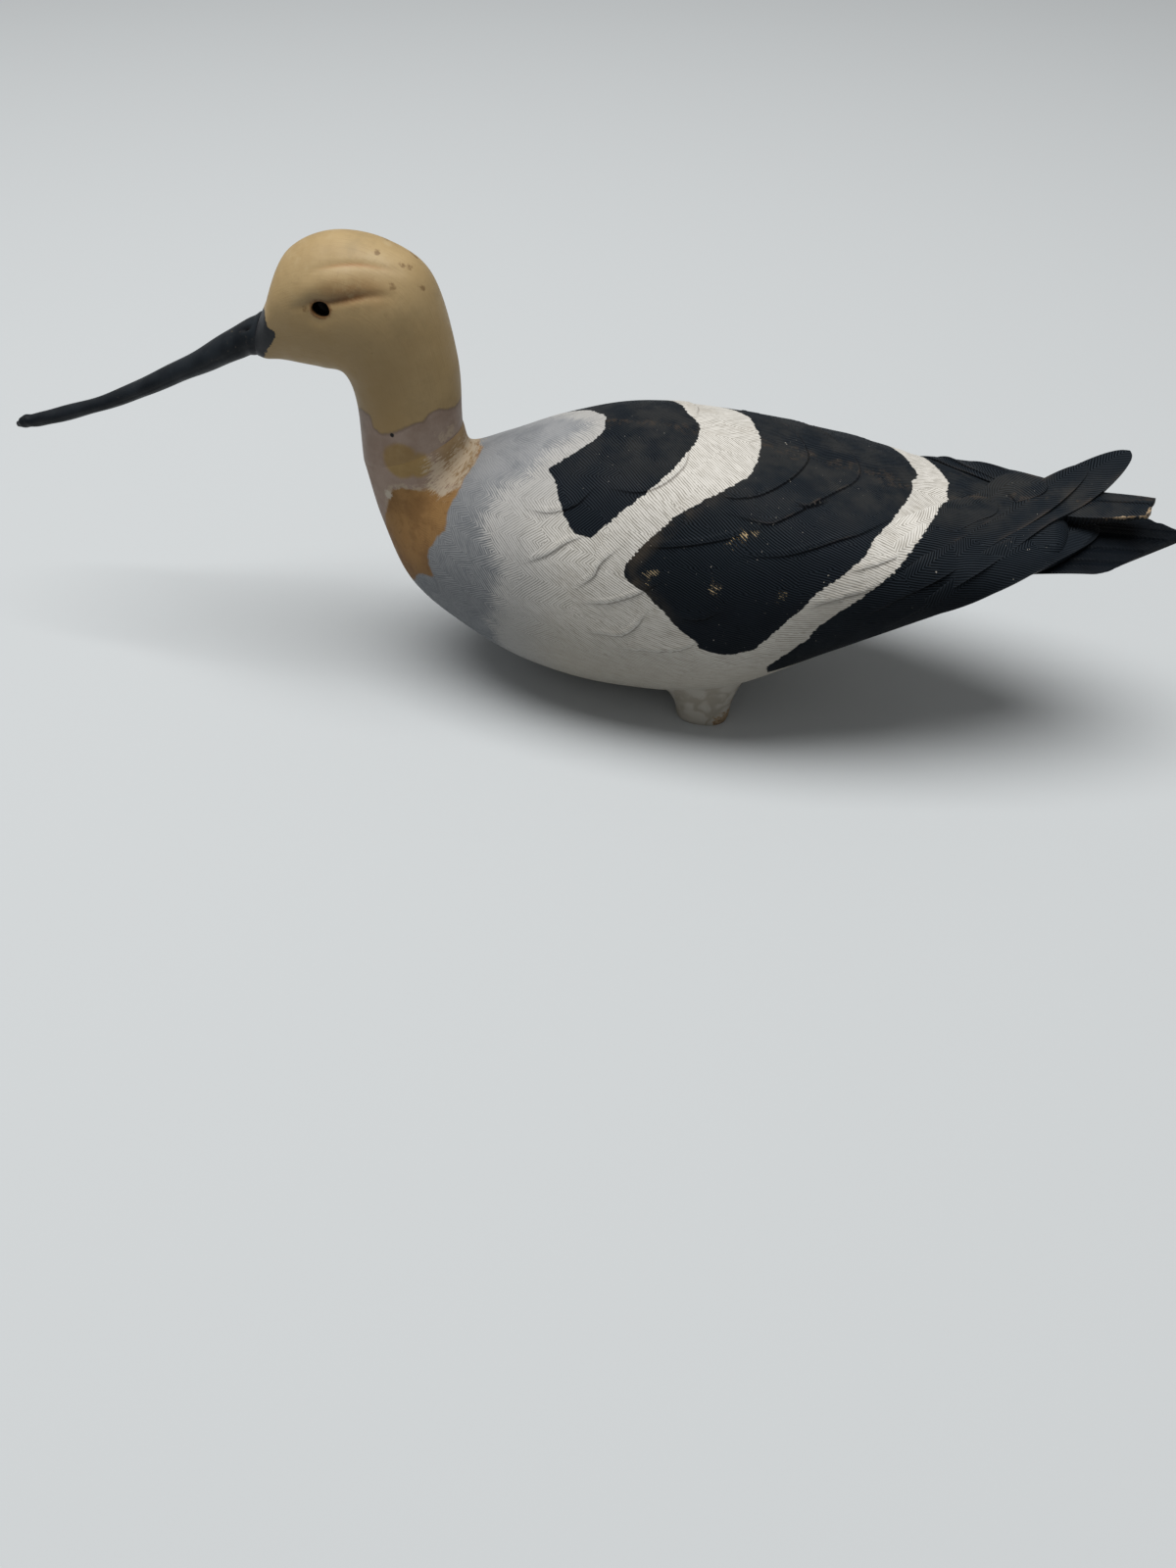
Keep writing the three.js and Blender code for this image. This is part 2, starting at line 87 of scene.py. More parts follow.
def on_form(rows, t, turn):
    """Points on a form. turn 0 is the back, 90 the left side and 180 the keel, in degrees."""
    t, turn = np.broadcast_arrays(t, turn)
    low_x, low_z, high_x, high_z, half, widest, above, below = np.moveaxis(between(rows, t), -1, 0)
    up, out = np.cos(np.radians(turn)), np.sin(np.radians(turn))
    share = 2 / np.where(up > 0, above, below)
    rise = widest + np.sign(up) * np.abs(up) ** share * np.where(up > 0, 1 - widest, widest)
    across = -half * np.sign(out) * np.abs(out) ** share
    return np.stack([low_x + (high_x - low_x) * rise, across, low_z + (high_z - low_z) * rise], -1)


def unit(v):
    return v / np.maximum(np.linalg.norm(v, axis=-1, keepdims=True), 1e-9)


def dots(a, b):
    """The dot products of many vectors."""
    return np.einsum("...k,...k->...", a, b)


def out_of(rows, t, turn):
    """The directions straight out of a form."""
    t = np.clip(t, 0.005, 0.995)
    along = on_form(rows, t + 0.004, turn) - on_form(rows, t - 0.004, turn)
    around = on_form(rows, t, turn + 1.5) - on_form(rows, t, turn - 1.5)
    out = unit(np.cross(around, along))
    core = on_form(rows, t, 90) * [1, 0, 1]
    facing = dots(out, on_form(rows, t, turn) - core)
    return np.where(facing[..., None] > 0, out, -out)


def ease(x):
    x = np.clip(x, 0, 1)
    return x * x * (3 - 2 * x)


NECK_TILT = np.radians(20.5)
BODY_LENGTH, BACK_HEIGHT, BODY_WIDTH = 225.5, 100.0, 90.0
NECK_FOOT, NECK_DEPTH, NECK_WIDTH = 79.0, 36.6, 30.5
HEAD_HEIGHT, HEAD_WIDTH = 73.0, 33.0
BILL_LENGTH, BILL_WIDTH = 98.0, 13.4
SEAT_GAP, BILL_INSET = 0.3, 0.5
JOINT_RUN, JOINT_RISE = NECK_DEPTH * np.cos(NECK_TILT), NECK_DEPTH * np.sin(NECK_TILT)


def stations(first, shares, length, height, width, start_x=0.0, start_z=0.0):
    """A form's table. Each station is [low x, low z, high x, high z, half width, widest share,
    roundness above, below], and all but the first are shares of the sizes, from a starting place."""
    sizes = [length, height, length, height, width, 1, 1, 1]
    return np.array([first, *(np.array(shares) * sizes + [start_x, start_z, start_x, start_z, 0, 0, 0, 0])])


BODY = stations([0, NECK_FOOT, JOINT_RUN, NECK_FOOT + JOINT_RISE, NECK_WIDTH / 2, 0.5, 2, 2], [
    [0.017, 0.560, 0.166, 0.845, 0.190, 0.51, 1.95, 2.00],
    [0.056, 0.350, 0.224, 0.885, 0.295, 0.48, 2.00, 2.00],
    [0.136, 0.200, 0.300, 0.950, 0.387, 0.47, 2.10, 1.95],
    [0.246, 0.062, 0.401, 0.995, 0.460, 0.48, 2.35, 1.86],
    [0.383, -0.004, 0.521, 0.972, 0.498, 0.50, 2.65, 1.78],
    [0.549, 0.065, 0.641, 0.926, 0.502, 0.50, 2.80, 1.90],
    [0.706, 0.282, 0.746, 0.882, 0.451, 0.50, 2.80, 1.82],
    [0.836, 0.468, 0.842, 0.827, 0.386, 0.55, 2.68, 1.85],
    [0.934, 0.613, 0.926, 0.826, 0.314, 0.56, 2.40, 2.00],
    [1.000, 0.711, 0.991, 0.838, 0.215, 0.55, 2.06, 2.05],
], BODY_LENGTH, BACK_HEIGHT, BODY_WIDTH)

SEAT = SEAT_GAP * np.array([-np.sin(NECK_TILT), np.cos(NECK_TILT)])
HEAD = stations(BODY[0] + [*SEAT, *SEAT, 0, 0, 0, 0], [
    [0.008, 0.275, 0.472, 0.485, 0.442, 0.50, 2.04, 1.98],
    [-0.020, 0.415, 0.393, 0.830, 0.490, 0.52, 1.98, 2.09],
    [-0.105, 0.435, 0.212, 0.962, 0.503, 0.55, 1.97, 2.19],
    [-0.200, 0.442, -0.012, 0.989, 0.467, 0.56, 1.96, 2.19],
    [-0.292, 0.446, -0.204, 0.906, 0.391, 0.55, 1.95, 2.15],
    [-0.360, 0.442, -0.308, 0.730, 0.309, 0.51, 1.95, 2.10],
    [-0.400, 0.447, -0.363, 0.640, 0.235, 0.50, 2.00, 2.00],
], HEAD_HEIGHT, HEAD_HEIGHT, HEAD_WIDTH, 0, NECK_FOOT)

FACE_LOW, FACE_HIGH = HEAD[-1, 0:2], HEAD[-1, 2:4]
FACE_SLOPE = unit(FACE_HIGH - FACE_LOW)
OFF_FACE = SEAT_GAP * np.array([-FACE_SLOPE[1], FACE_SLOPE[0]])
BILL_LOW = FACE_LOW + OFF_FACE + BILL_INSET * FACE_SLOPE
BILL_HIGH = FACE_HIGH + OFF_FACE - BILL_INSET * FACE_SLOPE
BILL = stations([*BILL_LOW, *BILL_HIGH, BILL_WIDTH / 2, 0.5, 2, 2], [
    [-0.077, -0.027, -0.051, 0.094, 0.445, 0.5, 2, 2],
    [-0.314, -0.134, -0.294, -0.049, 0.335, 0.5, 2, 2],
    [-0.609, -0.260, -0.602, -0.204, 0.255, 0.5, 2, 2],
    [-0.880, -0.350, -0.880, -0.302, 0.205, 0.5, 2, 2],
    [-0.970, -0.369, -0.970, -0.328, 0.155, 0.5, 2, 2],
    [-1.000, -0.371, -1.000, -0.352, 0.070, 0.5, 2, 2],
], BILL_LENGTH, BILL_LENGTH, BILL_WIDTH, *BILL_LOW)


# Meshes

KEEL_FROM = 125          # degrees of turn, below which a skin may have fewer points
SHARP = np.radians(75)   # an edge between faces that meet at more than this is not shaded smooth


def skin(rows, rings, sides, keel_share=1.0):
    """Shares, turns and points of even rings along a form. The points of a ring are even too, but
    sparser at the keel if keel_share is below one."""
    t = np.linspace(0, 1, 600)
    lines = np.stack([on_form(rows, t, turn) for turn in (0, 90, 180)])
    steps = np.linalg.norm(np.diff(lines, axis=1), axis=2).mean(0)
    run = np.concatenate([[0], np.cumsum(steps)])
    share = np.interp(np.linspace(0, run[-1], rings), run, t)
    dense = np.linspace(0, 180, 361)
    points = on_form(rows, share[:, None], dense)
    steps = np.linalg.norm(np.diff(points, axis=1), axis=2)
    steps = steps * np.where(dense[1:] > KEEL_FROM, keel_share, 1.0)
    run = np.concatenate([np.zeros((rings, 1)), np.cumsum(steps, axis=1)], axis=1)
    left = np.stack([np.interp(np.linspace(0, r[-1], sides // 2 + 1), r, dense) for r in run])
    turn = np.concatenate([left, -left[:, -2:0:-1]], axis=1).ravel()
    share = np.repeat(share, sides)
    return share, turn, on_form(rows, share, turn)


def ring_faces(rings, sides):
    """Quads over rings that all have as many points."""
    i, j = np.meshgrid(np.arange(rings - 1), np.arange(sides), indexing="ij")
    a = (i * sides + j).ravel()
    b = (i * sides + (j + 1) % sides).ravel()
    return np.stack([a, b, b + sides, a + sides], axis=1)


def closed(points, rings, sides):
    """Points and faces of a skin over rings, with a fan at each end."""
    grid = points.reshape(rings, sides, 3)
    ends = np.stack([grid[0].mean(0), grid[-1].mean(0)])
    faces = ring_faces(rings, sides).tolist()
    first, last = rings * sides, rings * sides + 1
    start = (rings - 1) * sides
    for j in range(sides):
        k = (j + 1) % sides
        faces.append((k, j, first))
        faces.append((start + j, start + k, last))
    return np.concatenate([points, ends]), faces


def facing_out(points, faces):
    """The faces, turned round if they look inwards, and whether they were."""
    p = points[np.array([(*f, f[-1])[:4] for f in faces])]
    turned = dots(p[:, 0], np.cross(p[:, 1], p[:, 2]) + np.cross(p[:, 2], p[:, 3])).sum() < 0
    return ([tuple(reversed(f)) for f in faces] if turned else faces), turned


def add_object(name, points, faces):
    mesh = bpy.data.meshes.new(name)
    mesh.from_pydata(((points + ORIGIN) * MM).tolist(), [], faces)
    made = bpy.data.objects.new(name, mesh)
    bpy.context.collection.objects.link(made)
    return made


def piece(name, points, faces, vertex, replaces=(), barbs=None):
    """A mesh that rides on the bird. vertex holds its attributes, with one number per point, and
    barbs holds uv coordinates for its quads, which come first."""
    faces, turned = facing_out(points, faces)
    made = add_object(name, points, faces)
    mesh = made.data
    if barbs is not None:
        full = np.zeros((len(mesh.loops), 2), np.float32)
        values = (barbs[:, ::-1] if turned else barbs).reshape(-1, 2)
        full[:len(values)] = values
        mesh.uv_layers.new(name="barbs").data.foreach_set("uv", full.ravel())
    for key, values in vertex.items():
        full = np.zeros(len(mesh.vertices), np.float32)
        full[:len(values)] = values
        full[len(values):] = values[-1]
        mesh.attributes.new(key, "FLOAT", "POINT").data.foreach_set("value", full)
    mesh.shade_smooth()
    mesh.set_sharp_from_angle(angle=SHARP)
    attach(made, "root")
    if replaces:
        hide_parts(*replaces)
    return made


# Places read off the photograph, in its own pixels, on the side that faces the camera

class Form:
    """A form with a way to find the place under a pixel of the photograph."""

    def __init__(self, rows, rings, sides):
        self.rows = rows
        self.shares, self.turns, self.points = skin(rows, rings, sides)
        self.faces = ring_faces(rings, sides)
        self.tree = BVHTree.FromPolygons((self.points + ORIGIN).tolist(), self.faces.tolist())

    def under(self, pixel):
        """(share, turn) of the place that a pixel shows, or None beside the form."""
        ray = LOOK * LENS / SENSOR * PHOTO_HEIGHT
        ray = ray + (pixel[0] - PHOTO_WIDTH / 2) * LOOK_RIGHT + (PHOTO_HEIGHT / 2 - pixel[1]) * LOOK_UP
        hit, _, face, _ = self.tree.ray_cast(Vector(CAMERA_PLACE), Vector(unit(ray)))
        if hit is None:
            return None
        corners = self.faces[face]
        gaps = np.linalg.norm(self.points[corners] + ORIGIN - np.array(hit), axis=1)
        weights = 1 / np.maximum(gaps, 1e-6)
        weights = weights / weights.sum()
        return (float(self.shares[corners] @ weights), float(self.turns[corners] @ weights))

    def path(self, pixels):
        """[share, turn] of each pixel of a path. A place that is given so already stays as it is."""
        found = [self.under(p) if isinstance(p, tuple) else tuple(p) for p in pixels]
        return np.array([p for p in found if p is not None])


body_form = Form(BODY, 220, 160)
head_form = Form(HEAD, 160, 120)


PAINT_REACH = 30         # the largest distance to a paint edge that is kept


def paint_distance(form, t, turn, edge, beyond):
    """Millimetres to a paint edge, below zero inside it. edge is a path of pixels, and [share, turn]
    where it can't be seen; beyond closes the shape with more [share, turn] that are no paint edge.
    Both sides of the bird are painted alike."""
    turn = np.abs(turn)
    path = form.path(edge)
    points = on_form(form.rows, t, turn)
    fine = np.linspace(0, len(path) - 1, 12 * len(path))
    spine = np.stack([np.interp(fine, np.arange(len(path)), path[:, k]) for k in (0, 1)], 1)
    line = on_form(form.rows, spine[:, 0], spine[:, 1])
    near = np.full(len(points), 1e9)
    for a, b in zip(line[:-1], line[1:]):
        step = b - a
        share = np.clip((points - a) @ step / max(step @ step, 1e-9), 0, 1)
        gap = points - a - share[:, None] * step
        near = np.minimum(near, dots(gap, gap))
    near = np.sqrt(near)
    shape = np.concatenate([path, np.array(beyond, float).reshape(-1, 2)])
    inside = np.zeros(len(points), bool)
    for (t0, turn0), (t1, turn1) in zip(shape, np.roll(shape, -1, axis=0)):
        if turn0 != turn1:
            crosses = (turn0 > turn) != (turn1 > turn)
            inside ^= crosses & (t < (t1 - t0) * (turn - turn0) / (turn1 - turn0) + t0)
    return np.clip(np.where(inside, -near, near), -PAINT_REACH, PAINT_REACH)


BACK_PATCH = [
    (618, 431), (617, 439), (603, 451), (585, 463), (560, 478), (566, 491), (570, 509), (577, 528),
    (585, 543), (601, 550), (619, 536), (639, 518), (659, 503), (682, 485), (698, 467), (712, 449),
    (713, 441),
]
WING_PATCH = [
    (776, 458), (773, 473), (763, 487), (738, 501), (712, 515), (690, 528), (668, 546), (651, 562),
    (639, 574), (636, 584), (643, 596), (657, 605), (674, 623), (692, 643), (712, 657), (726, 666),
    (746, 668), (765, 664), (781, 653), (799, 637), (822, 618), (834, 605), (859, 588), (882, 568),
    (893, 549), (910, 532), (922, 515), (931, 499),
]
REAR_BLACK = [
    (967, 510), (956, 522), (947, 538), (931, 559), (926, 568), (912, 584), (897, 597), (874, 614),
    (855, 626), (836, 639), (807, 664), (783, 680), [0.64, 118], [0.70, 128], [0.80, 132],
    [0.90, 132], [0.96, 140], [0.975, 180],
]
GREY_EDGE = [
    (604, 425), (598, 437), (580, 450), (556, 466), (540, 484), (508, 498), (504, 515), (493, 535),
    (501, 553), (510, 584), (508, 614), [0.335, 112], [0.36, 135], [0.37, 180],
]
RUST_TOP = [[0.11, 180], [0.115, 150], (400, 499), (412, 497), (439, 498), (452, 505), (467, 497),
            (478, 482), (487, 466), (484, 450), [0.06, 0]]
RUST_SIDE = [[0.11, 0], (493, 455), (485, 472), (473, 492), (467, 506), (458, 522), (455, 542),
             (445, 550), (438, 561), (438, 576), (443, 588), (428, 586), [0.205, 150], [0.205, 180]]
PUTTY_TOP = [[0.115, 180], (369, 417), (377, 424), (381, 437), (389, 443), (403, 441), (418, 434),
             (433, 430), (440, 422), (448, 418), (464, 416), [0.062, 0]]
BILL_PAINT = [[0.965, 0], (270, 318), (273, 333), (281, 341), (280, 349), (271, 360), (260, 362),
              [0.985, 180]]
BODY_PAINT = {
    "back_patch": (BACK_PATCH, [[0.478, -40], [0.365, -40]]),
    "wing_patch": (WING_PATCH, [[0.755, -40], [0.551, -40]]),
    "rear_black": (REAR_BLACK, [[0.975, 220], [1.3, 220], [1.3, -40], [0.809, -40]]),
    "grey": (GREY_EDGE, [[0.37, 220], [-0.1, 220], [-0.1, -40], [0.34, -40]]),
    "rust_top": (RUST_TOP, [[0.06, -40], [-0.2, -40], [-0.2, 220], [0.11, 220]]),
    "rust_side": (RUST_SIDE, [[0.205, 220], [-0.2, 220], [-0.2, -40], [0.11, -40]]),
}
HEAD_PAINT = {
    "putty": (PUTTY_TOP, [[0.062, -40], [-0.3, -40], [-0.3, 220], [0.115, 220]]),
    "bill_paint": (BILL_PAINT, [[0.985, 220], [1.4, 220], [1.4, -40], [0.965, -40]]),
}
OCHRE_DISC, OCHRE_SMEAR = (409, 471), (427, 475)
DISC_RADIUS, SMEAR_RADIUS = 6.2, 4.4
NAIL_HOLE = (400, 444)
WHITE_SCRAPES = [(446, 478), (450, 494), (458, 486), (465, 476), (471, 466), (479, 455)]
HEAD_SCRAPES = [(452, 449), (461, 440)]
HEAD_SPOTS = [(384, 257), (411, 270), (418, 273), (401, 293), (431, 293), (311, 317)]
WHITE_MARK = (396, 504)
CHIPS = [(664, 592), (668, 584), (729, 604), (731, 594), (748, 554), (758, 548), (768, 543), (796, 609),
         (731, 600), (660, 589)]

# Carved feather edges, nose to tail. Each is the lower edge of the feather above it.
FEATHER_EDGES = [
    [(737, 504), (746, 509), (774, 506), (804, 492), (823, 473), (826, 461)],
    [(746, 525), (771, 532), (786, 535), (804, 529), (844, 507), (872, 492), (880, 474)],
    [(810, 512), (822, 517), (834, 516), (845, 511)],
    [(656, 558), (680, 559), (712, 556), (746, 550), (775, 540)],
    [(760, 568), (800, 568), (826, 562), (856, 552), (880, 545), (908, 530)],
    [(868, 584), (896, 576), (927, 565)],
    [(826, 621), (848, 614), (878, 605), (908, 592)],
    [(692, 630), (715, 632), (734, 626)],
    [(592, 599), (606, 588), (614, 576), (628, 562)],
    [(538, 574), (558, 567), (578, 555), (594, 548)],
    [(598, 616), (622, 615), (648, 608), (672, 596)],
    [(600, 646), (634, 648), (650, 640), (658, 628)],
    [(632, 662), (680, 665), (712, 655)],
    [(952, 545), (977, 541), (990, 535), (1002, 528), (1022, 515)],
    [(902, 590), (940, 572), (955, 562), (975, 553), (990, 545), (1008, 535), (1040, 516)],
    [(880, 630), (900, 620), (945, 598), (975, 583), (1003, 564), (1024, 549)],
    [(905, 640), (940, 621), (970, 601), (1000, 585), (1030, 565)],
    [(626, 500), (652, 503), (678, 494), (698, 476), (704, 458)],
    [(540, 520), (562, 524), (586, 516), (604, 500)],
]


# Feathers carved on the body

EDGE_LIFT = 0.5          # how far a feather stands up at its lower edge
EDGE_REACH = 4.5         # how far from the edge it has sunk back into the body, about
GROOVE_SHARE, GROOVE_REACH = 0.3, 1.1    # the groove below the edge, next to its lift and its reach
EDGE_MARGIN = 22         # a feather edge moves nothing further off than this
NO_EDGE = 9.0            # the distance kept where there is no feather edge
EDGE_STEPS = 90


def mirrored(points, turn):
    """The same places on the left side."""
    return points * np.stack([np.ones(len(turn)), np.where(turn < 0, -1, 1), np.ones(len(turn))], 1)


def carved_edges(form, points, turn):
    """How far the feather edges raise each point, its distance above the nearest edge (below zero
    under it), its plain distance from that edge, and how strong the edge is there."""
    height, strength = np.zeros((2, len(points)))
    level, nearby = np.full((2, len(points)), NO_EDGE)
    points = mirrored(points, turn)
    last, third = EDGE_STEPS - 1, EDGE_STEPS // 3
    for edge in FEATHER_EDGES:
        t, lean = between(form.path(edge), np.linspace(0, 1, EDGE_STEPS)).T
        line = on_form(form.rows, t, lean)
        ahead = unit(np.gradient(line, axis=0))
        upward = unit(np.cross(out_of(form.rows, t, lean), ahead))
        if (on_form(form.rows, t[third], lean[third] + 3) - line[third]) @ upward[third] > 0:
            upward = -upward
        margin = np.ptp(line, axis=0) / 2 + EDGE_MARGIN
        close = np.nonzero((np.abs(points - line.mean(0)) < margin).all(1))[0]
        gap = points[close][:, None, :] - line[None, :, :]
        nearest = np.argmin(dots(gap, gap), 1)
        gap = gap[np.arange(len(close)), nearest]
        away = dots(gap, upward[nearest])
        beyond = np.where((nearest == 0) | (nearest == last), dots(gap, ahead[nearest]), 0)
        distance = np.hypot(away, beyond)
        fade = np.sin(np.pi * np.clip(nearest / last, 0.02, 0.98)) ** 0.6 * np.exp(-(beyond / 2.0) ** 2)
        above = EDGE_LIFT * np.exp(-distance / EDGE_REACH)
        below = -GROOVE_SHARE * EDGE_LIFT * np.exp(-distance / GROOVE_REACH)
        height[close] += fade * np.where(away > 0, above, below)
        here = distance < nearby[close]
        nearer = close[here]
        level[nearer], strength[nearer], nearby[nearer] = away[here], fade[here], distance[here]
    return height, level, nearby, strength


def feather_lean(t, turn):
    """Degrees of turn per share of length: further back the feathers lead up to the wing tips."""
    return -8.3 * np.maximum(t - 0.3, 0) * turn


def barb_places(corners):
    """For the corners of each face of the body, places along and out from the shaft of the nearest
    feather. The feathers lie in rows on the left side, and their barbs follow them."""
    row_gap, turn_gap = 0.072, 18        # between neighbours, in share and turn
    step = 0.03                          # from the root of a feather to its middle, in share
    aside = 16                           # how far off a shaft lies where the barbs all run one way
    slender = 0.55                       # how much less a distance along the feather counts
    places = []
    for i, t in enumerate(np.arange(0.06, 0.97, row_gap)):
        for turn in np.arange(0, 181, turn_gap) + (i % 2) * turn_gap / 2:
            places.append([t + draw.uniform(-0.008, 0.008), turn + draw.uniform(-3, 3)])
    t, turn = np.array(places).T
    root = on_form(BODY, t, turn)
    middle = on_form(BODY, t + step, turn + feather_lean(t + step / 2, turn) * step)
    out = out_of(BODY, t + step, turn)
    ahead = unit(middle - root - dots(middle - root, out)[:, None] * out)
    side = np.cross(ahead, out)
    side *= np.sign(dots(side, on_form(BODY, t, turn + 4) - root))[:, None]
    one_way = ease((t - 0.36) / 0.1) * ease((150 - turn) / 20)
    one_way = np.maximum(one_way, ease((40 - turn) / 15))
    shift = aside * one_way + draw.uniform(-1, 1, len(t))
    offset = draw.uniform(0, 60, len(t))

    centre = corners.mean(1)
    best = np.full(len(centre), 1e9)
    owner = np.zeros(len(centre), int)
    for k in range(len(t)):
        gap = centre - middle[k]
        away = dots(gap, gap) - slender * (gap @ ahead[k]) ** 2
        owner = np.where(away < best, k, owner)
        best = np.minimum(best, away)
    gap = corners - middle[owner][:, None]
    return np.stack([dots(gap, ahead[owner][:, None]) + offset[owner][:, None],
                     dots(gap, side[owner][:, None]) + shift[owner][:, None]], -1)


def near_places(points, turn, form, *pixels):
    """Millimetres from each point to the nearest of the places under pixels, on both sides alike."""
    points = mirrored(points, turn)
    places = [on_form(form.rows, *form.under(pixel)) for pixel in pixels]
    return np.min([np.linalg.norm(points - place, axis=1) for place in places], axis=0)


def disc_distance(points, turn):
    """Millimetres to the edge of the ochre filler on the neck, below zero inside it."""
    return np.minimum(near_places(points, turn, head_form, OCHRE_DISC) - DISC_RADIUS,
                      near_places(points, turn, body_form, OCHRE_SMEAR) - SMEAR_RADIUS)


BODY_RINGS, BODY_SIDES = 392, 236
body_share, body_turn, body_bare = skin(BODY, BODY_RINGS, BODY_SIDES, keel_share=0.5)
body_height, body_level, body_nearby, body_strength = carved_edges(body_form, body_bare, body_turn)
body_height *= ease(body_share / 0.05)      # none at the neck joint
body_points = body_bare + out_of(BODY, body_share, body_turn) * body_height[:, None]
body_points[:, 2] = np.maximum(body_points[:, 2], 0)

# The rump closes behind the last ring.
last_ring = body_points[-BODY_SIDES:]
middle = on_form(BODY, 1.0, 90) * [1, 0, 1]
rump = [(last_ring - middle) * size + middle + [back * BODY_LENGTH, 0, 0]
        for back, size in ((0.004, 0.97), (0.009, 0.9), (0.014, 0.78), (0.019, 0.6), (0.022, 0.35))]
rings = BODY_RINGS + len(rump)
body_points, body_faces = closed(np.concatenate([body_points, *rump]), rings, BODY_SIDES)
quads = ring_faces(rings, BODY_SIDES)


def with_rump(values):
    return np.concatenate([values] + [values[-BODY_SIDES:]] * len(rump))


# Just beyond the middle of the back the bands of paint don't mirror: the first one runs further
# forward there, and the second one further back.
beyond_middle = ease(-body_turn / 10) * ease((80 + body_turn) / 40)
moved = np.interp(body_share, (0.40, 0.58, 0.72), (-0.014, -0.006, 0.022)) * beyond_middle
body_distances = {
    name: paint_distance(body_form, body_share - moved, body_turn, edge, beyond)
    for name, (edge, beyond) in BODY_PAINT.items()
}
body_values = {
    **body_distances,
    "level": body_level, "nearby": body_nearby, "strength": body_strength,
    "share": body_share, "turn": np.abs(body_turn),
    "chip": near_places(body_bare, np.abs(body_turn), body_form, *CHIPS),   # on the near side alone
    "disc": disc_distance(body_bare, body_turn),
    "scrape": near_places(body_bare, body_turn, body_form, *WHITE_SCRAPES),
    "mark": near_places(body_bare, body_turn, body_form, WHITE_MARK),
}
corner_places = mirrored(np.concatenate([body_bare, *rump]), with_rump(body_turn))[quads]
body = piece(
    "carved_body", body_points, body_faces, replaces=("body",),
    barbs=barb_places(corner_places),
    vertex={name: with_rump(values) for name, values in body_values.items()},
)

FAR = 99.0               # the distance kept for marks that a piece doesn't have
body_tree = KDTree(len(body_bare))
for index, place in enumerate(body_bare.tolist()):
    body_tree.insert(place, index)
body_tree.balance()


def paint_near(points):
    """The body's paint distances for the points of a piece that lies on it."""
    nearest = np.array([body_tree.find(p)[1] for p in points.tolist()])
    return {
        **{name: values[nearest] for name, values in body_distances.items()},
        "share": body_share[nearest], "turn": np.abs(body_turn[nearest]),
        **{name: np.full(len(points), FAR) for name in ("chip", "disc", "scrape", "mark", "nearby")},
    }


# Long wing feathers and the tail

RIM_REACH = 0.6          # how far the worn rim of a feather reaches in from its side


def quill(course, half_width, thickness, reach, broken=False, round_from=0.75):
    """A long feather. Rows of course are a place and the direction its upper face looks in, and reach
    is how far it goes down below each place. Its tip is round, or blunt where it is broken. Gives its
    points in rings, how far along and off its shaft they are, the half width and share of the length of
    each ring, and the places across a ring, from -1 to 1."""
    root_width, thinning, rings, top_count, shaft_at = 0.55, 0.35, 90, 21, -0.25
    shaft_height, blunt, ragged_depth = 0.10, 0.4 * broken, 1.4 * broken
    across = np.array([*np.linspace(-1, 1, top_count), *np.linspace(0.9, -0.9, 9)])
    upper = np.arange(len(across)) < top_count
    t = np.linspace(0, 1, rings)
    t = np.where(t > 0.8, 0.8 + 0.2 * np.sin((t - 0.8) / 0.2 * np.pi / 2), t)
    row = between(np.column_stack([course, reach]), t)
    middle, out = row[:, 0:3], row[:, 3:6]
    along = unit(between(course, t + 0.004)[:, 0:3] - between(course, t - 0.004)[:, 0:3])
    side = unit(np.cross(along, out))
    up = unit(np.cross(side, along))
    to_tip = np.maximum((t - round_from) / (1 - round_from), 0)
    narrow = np.sqrt(1 - to_tip ** 2 * (1 - blunt) * 0.995)
    half = half_width * (root_width + (1 - root_width) * ease(t / 0.45)) * narrow
    thick = thickness * (1 - thinning * t) / 2
    shaft = shaft_height * np.exp(-((across - shaft_at) / 0.06) ** 2)
    crown = 0.5 + 0.45 * (1 - np.abs(across) ** 2.4)
    lower = -row[:, 6:7] * (1 - 0.25 * np.abs(across))
    heights = np.where(upper, thick[:, None] * crown + shaft, lower)
    marks = np.random.default_rng(5).uniform(-1, 0, 9)
    ragged = ragged_depth * np.interp(across, np.linspace(-1, 1, 9), marks)
    points = (
        middle[:, None, :]
        + side[:, None, :] * (across * half[:, None])[..., None]
        + up[:, None, :] * heights[..., None]
        + along[:, None, :] * (ragged * ease((t - 0.85) / 0.15)[:, None])[..., None]
    )
    length = np.concatenate([[0], np.cumsum(np.linalg.norm(np.diff(middle, axis=0), axis=1))])
    return points, length, (across - shaft_at) * half[:, None], half, t, across


def at(along, side, up):
    """A place, from shares of the body's length, half width and height."""
    return [along * BODY_LENGTH, side * BODY_WIDTH / 2, up * BACK_HEIGHT]


